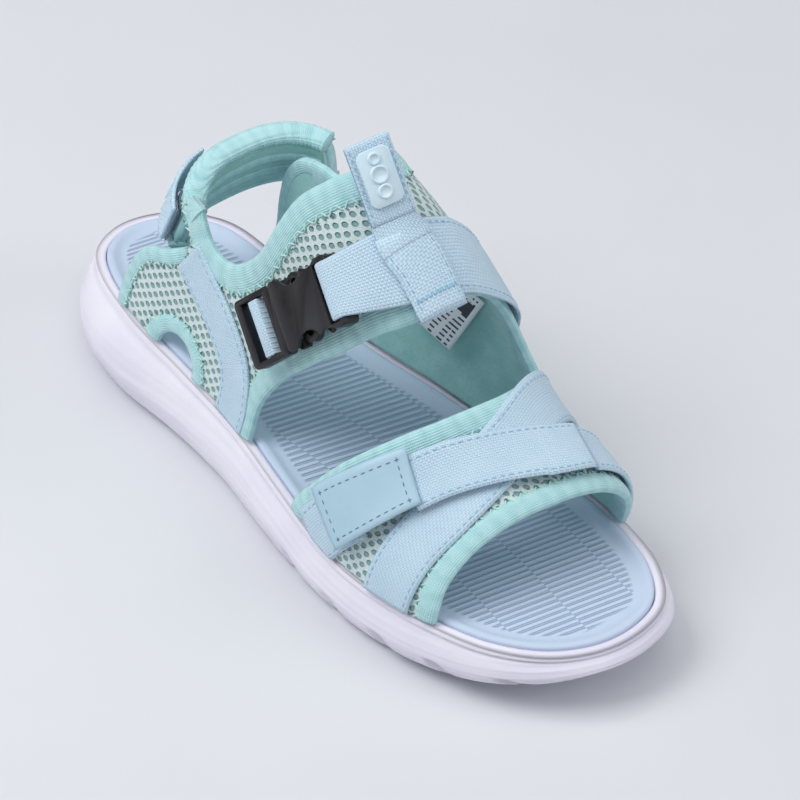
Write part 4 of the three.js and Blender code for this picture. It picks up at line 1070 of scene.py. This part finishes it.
def buildHeelStrap():
    ends = (heel["start"], heel["end"] + 4)
    innerFace = -gap - 1.0
    outside = heel["pad"] + gap
    pad = heelRibbon("heel_strap_pad", ends, (-0.8, 0.74), (0, heel["pad"]), paint["mintSoft"],
                     "heel_strap", 3.0, crown=0.4)
    count = 28
    rows = len(pad.data.vertices) // count
    held = [i * count + j for i in range(rows) for j in range(count)
            if i in (0, rows - 1) or j in (0, 14)]
    puffed(pad, held, 0.8)
    heelRibbon("heel_strap_lining", ends, (-0.78, 0.7), (innerFace - 0.3, -0.1), paint["lining"],
               "heel_strap", 4.0)
    heelRibbon("heel_strap_top_roll", ends, (0.62, 1.04), (innerFace - 0.5, outside + 1.0), paint["mint"],
               "heel_strap", 2.2, 140, 0.14)
    heelRibbon("heel_strap_bottom_binding", ends, (-1.02, -0.7), (innerFace - 0.3, outside + 0.4),
               paint["mint"], "heel_strap", 2.3)
    for share in (-0.3, 0.22):
        heelRibbon(f"lining_ridge_{'low' if share < 0 else 'high'}", (ends[0] + 3, ends[1] - 3),
                   (share - 0.13, share + 0.13), (innerFace - 1.1, innerFace + 0.3),
                   paint["mint"], "heel_strap", 2.2, replaced=())
    tape = (outside - 0.3, outside + 1.2)
    heelRibbon("heel_overlay_root", (heel["split"] + 0.6, heel["end"]), (-0.7, 0.64), tape, paint["webbing"],
               "heel_strap", 9.0)
    low = tape[1] + gap + 0.8 + gap
    heelRibbon("heel_overlay_flap", (heel["start"] + 1, heel["split"]), (-0.7, 0.64), (low - 0.3, low + 1.2),
               paint["webbing"], "heel_flap", 9.0)
    heelRibbon("heel_flap_pile_edge", (heel["start"] - 0.2, heel["start"] + 8), (-0.68, 0.62),
               (low - 1.3, low - 0.2), paint["pile"], "heel_flap", 5.0, 12, replaced=())
    for share in (-0.6, 0.54):
        word = "low" if share < 0 else "high"
        heelStitches("heel_flap_stitches_" + word, (heel["start"] + 3, heel["split"] - 1), share, low + 1.15,
                     paint["threadBlue"], "webbing", "heel_flap", **edgeStitch)
        heelStitches("heel_root_stitches_" + word, (heel["split"] + 2, heel["end"] - 3), share, tape[1],
                     paint["threadBlue"], "webbing", "heel_strap", **edgeStitch)
    heelStitches("heel_strap_top_stitches", (ends[0] + 1, ends[1] - 1), 0.6, outside + 0.4,
                 paint["threadMint"], "binding_knit", "heel_strap", pitch=2.7, length=3.6, radius=0.38,
                 tilt=0.85)
    # raised plain print on the overlay: three rounded bars
    for k, (a, b) in enumerate(((58, 64), (66.5, 72.5), (75, 81))):
        heelRibbon(f"heel_print_{k}", (a, b), (-0.32, 0.3), (low + 1.0, low + 1.75), paint["badge"],
                   "heel_flap", 3.0, 14, replaced=())


def buildCollarBridge():
    # the padded roll runs on from the outer collar up into the heel strap's top roll
    collarEnd = onForm(-64.5, 21.4, 1.8)
    collarBack = onForm(-58.0, 20.8, 1.8)
    strapEnd = onHeel(heel["start"] + 6, 0.8 * heelHeight(heel["start"] + 6) / 2, 2.3)[0]
    strapOn = onHeel(heel["start"] + 16, 0.84 * heelHeight(heel["start"] + 16) / 2, 2.3)[0]
    t = np.linspace(0, 1, 31)[:, None]
    reach = np.linalg.norm(strapEnd - collarEnd)
    a = (collarEnd - collarBack) / np.linalg.norm(collarEnd - collarBack) * reach
    b = (strapOn - strapEnd) / np.linalg.norm(strapOn - strapEnd) * reach
    path = (2 * t ** 3 - 3 * t * t + 1) * collarEnd + (t ** 3 - 2 * t * t + t) * a
    path = path + (-2 * t ** 3 + 3 * t * t) * strapEnd + (t ** 3 - t * t) * b
    tangent = np.gradient(path, axis=0)
    tangent /= np.linalg.norm(tangent, axis=1)[:, None]
    upStart = onForm(-64.5, 24.0, 1.8) - onForm(-64.5, 19.0, 1.8)
    upEnd = np.array([0.0, 0.0, 1.0])
    up = (1 - t) * upStart / np.linalg.norm(upStart) + t * upEnd
    up -= tangent * (up * tangent).sum(1)[:, None]
    up /= np.linalg.norm(up, axis=1)[:, None]
    side = np.cross(tangent, up)
    angle = np.linspace(0, 2 * np.pi, 29)[:-1]
    high = 4.9 + (4.0 - 4.9) * t
    wideness = 2.6 + (4.2 - 2.6) * t
    rows = path[:, None, :] + up[:, None, :] * (np.cos(angle) * high)[..., None]
    rows = rows + side[:, None, :] * (np.sin(angle) * wideness)[..., None]
    lengths = distances(path)
    uv = np.stack(np.broadcast_arrays(lengths[:, None], (angle * 4)[None, :]), -1)
    across = ("sandal", "heel_strap", tuple(collarEnd * mm), tuple(strapEnd * mm))
    sweep("collarBridge", rows, paint["mint"], uv, across)


buildHeelStrap()
buildCollarBridge()
print("heel strap made")

# ---------- instep webbing, buckle, pull tab and label ----------

buckle = {"from": (-17, 19.5), "to": (6, 37), "length": 47, "width": 24.5, "thickness": 7, "bar": 2.6,
          "slot": 4}


def frameOf(across, forward, out, centre):
    return {"x": across / np.linalg.norm(across), "y": forward / np.linalg.norm(forward),
            "z": out / np.linalg.norm(out), "at": centre}


def inFrame(f, points):
    points = np.asarray(points, float)
    return f["at"] + points[..., :1] * f["x"] + points[..., 1:2] * f["y"] + points[..., 2:3] * f["z"]


def buckleFrame():
    a, b = onForm(*buckle["from"]), onForm(*buckle["to"])
    forward = (b - a) / np.linalg.norm(b - a)
    middle = [(buckle["from"][i] + buckle["to"][i]) / 2 for i in (0, 1)]
    out = normalOn(*middle)
    out = out - out.dot(forward) * forward
    out /= np.linalg.norm(out)
    lift = layer["over"][1] + buckle["thickness"] / 2 + 1
    return frameOf(np.cross(forward, out), forward, out, (a + b) / 2 + out * lift)


buckleAt = buckleFrame()
keeperPoints = [(5.3, 47.3), (8.5, 46.9), (13, 47.1), (19, 46.9), (26, 46.5)]


def buildInstepWebbing():
    up = buckle["length"] / 2 - buckle["bar"] - buckle["slot"] / 2
    over = buckle["thickness"] / 2 + 0.35 + 0.6 + 0.1
    end = buckle["length"] / 2
    local = np.array([(up, -3), (up, 0), (up, 2.4), (up + 0.5, over - 0.7), (up + 1.7, over),
                      # through the slot and over the socket's end
                      (end - 0.8, over), (end + 0.6, over - 0.5)])
    path = line([(9, 42), (12, 46), (15, 52), (18, 60), (18, 70), (14, 84), (12, 100)])
    out = outOf(local)
    shape = section(9.0)
    rows, uv = [], []
    lengths = trueLengths(path) + 16
    before = distances(local)
    for share, height in shape:
        x = -10 + 20 * share
        at = local + out * ((height - 0.5) * 1.2)
        first = inFrame(buckleAt, np.stack([np.full(len(at), x), at[:, 0], at[:, 1]], 1))
        side = moved(path, 10 - 20 * share)
        low, high = layer["over"]
        rest = onForm(side[:, 0], np.clip(side[:, 1], 0.3, 99.7),
                      np.full(len(side), low + (high - low) * height))
        rows.append(np.concatenate([first, rest]))
        uv.append(np.stack([np.concatenate([before, lengths]),
                            np.full(len(before) + len(lengths), 10 - 20 * share)], 1))
    rows, uv = np.stack(rows, 1), np.stack(uv, 1)
    for _ in range(30):
        rows[7:24] = rows[7:24] * 0.5 + (rows[6:23] + rows[8:25]) * 0.25
    middle = rows.mean(1)
    uv[..., 0] = distances(middle)[:, None]
    slack = ("sandal", "socket", tuple(onForm(11, 44, 6.2) * mm),
             tuple(inFrame(buckleAt, np.array([0, end, 3.0])) * mm))
    sweep("instep_webbing", rows, paint["webbing"], uv, slack, ["instep_webbing"])
    for side, word in ((1, "rear"), (-1, "front")):
        stitchOnForm("instep_webbing_" + word + "_stitches", path, side * 8.2, layer["over"][1],
                     paint["threadBlue"], "webbing", **edgeStitch)
    webbing("keeper_webbing", keeperPoints, "top", half=8)
    # bar tack across the keeper's lower end
    keeper = line(keeperPoints)
    tack = np.stack([moved(keeper, d)[-4] for d in np.linspace(6.5, -6.5, 16)])
    stitchOnForm("keeper_bar_tack", tack, 0, layer["top"][1], paint["threadBlue"], "webbing", pitch=0.9,
                 length=2.2, radius=0.3, tilt=1.3)


def softened(node, name, material, body, bevel, uvFrame=None):  # the part's solid with rounded edges
    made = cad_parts[node].data.copy()
    dress(made, material)
    piece = placed(name, made)
    weld = piece.modifiers.new("weld", "WELD")
    weld.merge_threshold = 0.00005
    flat = piece.modifiers.new("flat", "DECIMATE")
    flat.decimate_type = "DISSOLVE"
    flat.angle_limit = math.radians(3)
    rounding = piece.modifiers.new("round", "BEVEL")
    rounding.width = bevel * mm
    rounding.segments = 3
    rounding.limit_method = "ANGLE"
    rounding.angle_limit = math.radians(35)
    rounding.harden_normals = True
    bake(piece)
    final = piece.data
    final.shade_smooth()
    final.set_sharp_from_angle(angle=math.radians(50))
    if uvFrame is not None:
        points = np.array([v.co for v in final.vertices]) / mm - uvFrame["at"]
        uv = np.stack([points @ uvFrame["y"], points @ uvFrame["x"]], 1)
        for old in list(final.uv_layers):
            final.uv_layers.remove(old)
        setUv(final, uv)
    return finishPiece(piece, body, [node])


def buildBuckle():
    softened("buckle_male", "buckleMale", paint["black"], "sandal", 0.5)
    softened("buckle_socket", "buckleSocket", paint["black"], "socket", 0.45)
    softened("buckle_latch_left", "buckleLatchLeft", paint["black"], "latch_left", 0.4)
    softened("buckle_latch_right", "buckleLatchRight", paint["black"], "latch_right", 0.4)
    softened("buckle_anchor_webbing", "buckleAnchorLoop", paint["webbing"], "sandal", 0.5,
             buckleAt)


tab = {"from": (-1.5, 45), "to": (4.5, 49.5), "length": 29, "thickness": 2.6, "tilt": 20, "swing": 20,
       "width": 16}


def tabFrame():
    lift = layer["top"][0] + tab["thickness"] / 2
    a, b = onForm(*tab["from"], lift), onForm(*tab["to"], lift)
    middle = [(tab["from"][i] + tab["to"][i]) / 2 for i in (0, 1)]
    across = (b - a) / np.linalg.norm(b - a)
    out = normalOn(*middle)
    out = out - out.dot(across) * across
    out /= np.linalg.norm(out)
    up = np.cross(out, across)
    t = math.radians(tab["tilt"])
    up, out = up * math.cos(t) + out * math.sin(t), out * math.cos(t) - up * math.sin(t)
    s = math.radians(tab["swing"])
    return frameOf(across * math.cos(s) + up * math.sin(s), up * math.cos(s) - across * math.sin(s), out,
                   (a + b) / 2)


tabAt = tabFrame()


def buildTab():
    ply = 0.85
    turn = np.linspace(-np.pi / 2, np.pi / 2, 9)
    top = tab["length"] - ply - 0.5
    rear = np.stack([np.linspace(0.4, top, 20), np.full(20, -ply)], 1)
    fold = np.stack([top + np.cos(turn[1:-1]) * ply, np.sin(turn[1:-1]) * ply], 1)
    local = np.concatenate([rear, fold, np.stack([np.linspace(top, 0.4, 20), np.full(20, ply)], 1)])
    out = outOf(local)
    lengths = distances(local)
    rows, uv = [], []
    for share, height in section(9.0):
        x = tab["width"] * (share - 0.5)
        at = local + out * (height - 0.5) * 0.9
        rows.append(inFrame(tabAt, np.stack([np.full(len(at), x), at[:, 0], at[:, 1]], 1)))
        uv.append(np.stack([lengths, np.full(len(at), x)], 1))
    sweep("pull_tab", np.stack(rows, 1), paint["webbing"], np.stack(uv, 1), "pull_tab",
          ["pull_tab"])
    # a darker webbing sheet between the two plies: painted shade in the gap
    half, deep = 8.05, 0.38
    corners = ((-half, -deep), (half, -deep), (half, deep), (-half, deep))
    inner = np.array([[[x, y, z] for x, z in corners] for y in np.linspace(0.6, top, 12)])
    sweep("pullTabInnerShade", inFrame(tabAt, inner), paint["webbingPaintedShade"],
          np.stack([inner[..., 1], inner[..., 0]], -1), "pull_tab")
    # raised plain badge with three ringed discs
    softened("pull_tab_badge", "pullTabBadge", paint["badge"], "pull_tab", 0.35)
    for side in (-1, 1):
        ys = np.linspace(2, 27, 40)
        z = tab["thickness"] / 2 + 0.02
        points = inFrame(tabAt, np.stack([np.full(40, side * 6.9), ys, np.full(40, z)], 1))
        stitchRun(f"tab_stitches_{'a' if side < 0 else 'b'}", points, np.tile(tabAt["z"], (40, 1)),
                  paint["threadBlue"], "webbing", "pull_tab", pitch=2.7, length=1.9, radius=0.22)
    top = tab["thickness"] / 2 + 0.3 + 0.9
    for k, (y, r) in enumerate(((11, 2.6), (17, 3.2), (22.6, 2.2))):
        angles = np.linspace(0, 2 * np.pi, 33)[:-1]
        rows = []
        for level, radius in ((-0.1, r), (0.5, r), (0.75, r - 0.3), (0.8, r - 0.7), (0.3, r - 0.95),
                              (0.3, 0.02)):
            rows.append(np.stack([np.cos(angles) * radius, y + np.sin(angles) * radius,
                                  np.full(32, top + level)], 1))
        points = inFrame(tabAt, np.array(rows))
        piece = makePiece(f"badgeRing{k}", points.reshape(-1, 3), gridFaces(6, 32, True), paint["badge"])
        turnOutwards(piece)
        finishPiece(piece, "pull_tab")


def buildTabRoot():  # two plies run on from the keeper's upper end into the tab
    keeper = line(keeperPoints)
    middle = sum(layer["top"]) / 2
    rise = np.linspace(0, 1, 15)[:, None]
    rows, uv = [], []
    for share, height in section(7.0):
        x = tab["width"] * (share - 0.5)
        foot, ahead = moved(keeper, x)[0], moved(keeper, x)[2]
        low = onForm(*ahead, middle)
        back = onForm(*foot, middle) - low
        back /= np.linalg.norm(back)
        enter, high = (inFrame(tabAt, np.array([x, y, 0.0])) for y in (-2.0, 1.6))
        path = (1 - rise) ** 3 * low + 3 * (1 - rise) ** 2 * rise * (low + back * 3.5)
        path = path + 3 * (1 - rise) * rise ** 2 * enter + rise ** 3 * high
        out = (1 - rise) * normalOn(*foot) + rise * tabAt["z"]
        out /= np.linalg.norm(out, axis=1)[:, None]
        rows.append(path + out * (height - 0.5) * (1.3 + 1.2 * rise))
        uv.append(np.stack([rise[:, 0] * np.linalg.norm(high - low), np.full(len(rise), x)], 1))
    start = onForm(*keeper[0], middle)
    across = ("sandal", "pull_tab", tuple(start * mm), tuple(inFrame(tabAt, np.array([0, 0.8, 0.0])) * mm))
    sweep("pullTabRoot", np.stack(rows, 1), paint["webbing"], np.stack(uv, 1), across)


label = {"top": (9, 73), "bottom": (-4, 90), "inside": 2.2, "width": 20, "length": 32, "curl": 0.9}


def buildLabel():
    top, bottom = onForm(*label["top"], -label["inside"]), onForm(*label["bottom"], -label["inside"])
    down = (bottom - top) / np.linalg.norm(bottom - top)
    beside = onForm(label["top"][0] + 5, label["top"][1] + 1.5, -label["inside"]) - top
    across = beside - beside.dot(down) * down
    f = frameOf(across, down, np.cross(across, down), top)
    half, length = label["width"] / 2, label["length"]
    gx, gy = np.meshgrid(np.linspace(-half, half, 21), np.linspace(0, length, 33))
    curl = -label["curl"] * (gy / length) ** 2 - 0.25 * np.cos(gx / half * 1.2)
    points = inFrame(f, np.stack([gx, gy, curl], -1).reshape(-1, 3))
    uv = np.stack([gx.ravel(), gy.ravel()], 1)
    piece = makePiece("careLabel", points, gridFaces(33, 21), paint["label"], uv)
    thickened(piece, 0.3)
    finishPiece(piece, "care_label", ["care_label"])


buildInstepWebbing()
buildBuckle()
buildTab()
buildTabRoot()
buildLabel()
print("trim made")

# ---------- stage, lights and camera ----------


def buildStage():
    floor = bpy.data.meshes.new("floor")
    points, faces = [], []
    reach, back, height, steps = 3.0, -1.6, 2.4, 24
    profile = [(reach, 0.0), (back, 0.0)]
    for k in range(1, steps + 1):
        a = math.pi / 2 * k / steps
        profile.append((back - 0.6 * math.sin(a), 0.6 - 0.6 * math.cos(a)))
    profile.append((back - 0.6, height))
    towards = Vector((0.714, 0.632, 0)).normalized()
    side = Vector((-towards.y, towards.x, 0))
    for d, z in profile:
        for s in (-4, 4):
            p = towards * d + side * s
            points.append((p.x, p.y, z - 0.0002))
    for k in range(len(profile) - 1):
        faces.append((2 * k, 2 * k + 1, 2 * k + 3, 2 * k + 2))
    floor.from_pydata(points, [], faces)
    floor.shade_smooth()
    piece = placed("floor", floor)
    made, tree, shader = surface("paperBackdrop", 0.9)
    at = objectMm(tree)
    cloud = put(tree, noise, None, at, Scale=0.01, Detail=2.0)
    colour = put(tree, mix, rgba, cloud, out=2, i6=linear(0xDADCE0), i7=linear(0xE0E2E6))
    tree.links.new(colour, shader.inputs["Base Color"])
    piece.data.materials.append(made)


def light(name, at, size, power, target=(0, 0, 0.05)):
    lamp = bpy.data.lights.new(name, "AREA")
    lamp.shape = "RECTANGLE"
    lamp.size, lamp.size_y = size
    lamp.energy = power
    made = placed(name, lamp)
    made.location = at
    made.rotation_mode = "QUATERNION"
    made.rotation_quaternion = (Vector(target) - Vector(at)).to_track_quat("-Z", "Y")


def buildCamera():
    lens = bpy.data.cameras.new("camera")
    lens.sensor_width = 36
    lens.lens = 166.663
    lens.clip_start = 0.05
    made = placed("camera", lens)
    right = Vector((-0.7235285, 0.6802711, 0.1172078))
    down = Vector((0.3958716, 0.5480040, -0.7368699))
    ahead = Vector((-0.5655017, -0.4867471, -0.6657966))
    turn = Matrix((right, -down, -ahead)).transposed()
    made.rotation_mode = "QUATERNION"
    made.rotation_quaternion = turn.to_quaternion()
    made.location = (0.714245, 0.631681, 0.890379)
    bpy.context.scene.camera = made


buildStage()
light("key", (0.9, -0.5, 1.3), (0.9, 0.9), 15)
light("fill", (-0.8, 1.1, 1.0), (1.2, 1.2), 6)
light("top", (0.0, 0.0, 1.6), (1.4, 1.4), 7)
world = bpy.data.worlds.new("studio")
bpy.context.scene.world = world
world.use_nodes = True
world.node_tree.nodes["Background"].inputs[0].default_value = (0.86, 0.9, 0.96, 1)
world.node_tree.nodes["Background"].inputs[1].default_value = 0.34
buildCamera()
bpy.context.scene.view_settings.view_transform = "Standard"
print("stage made")
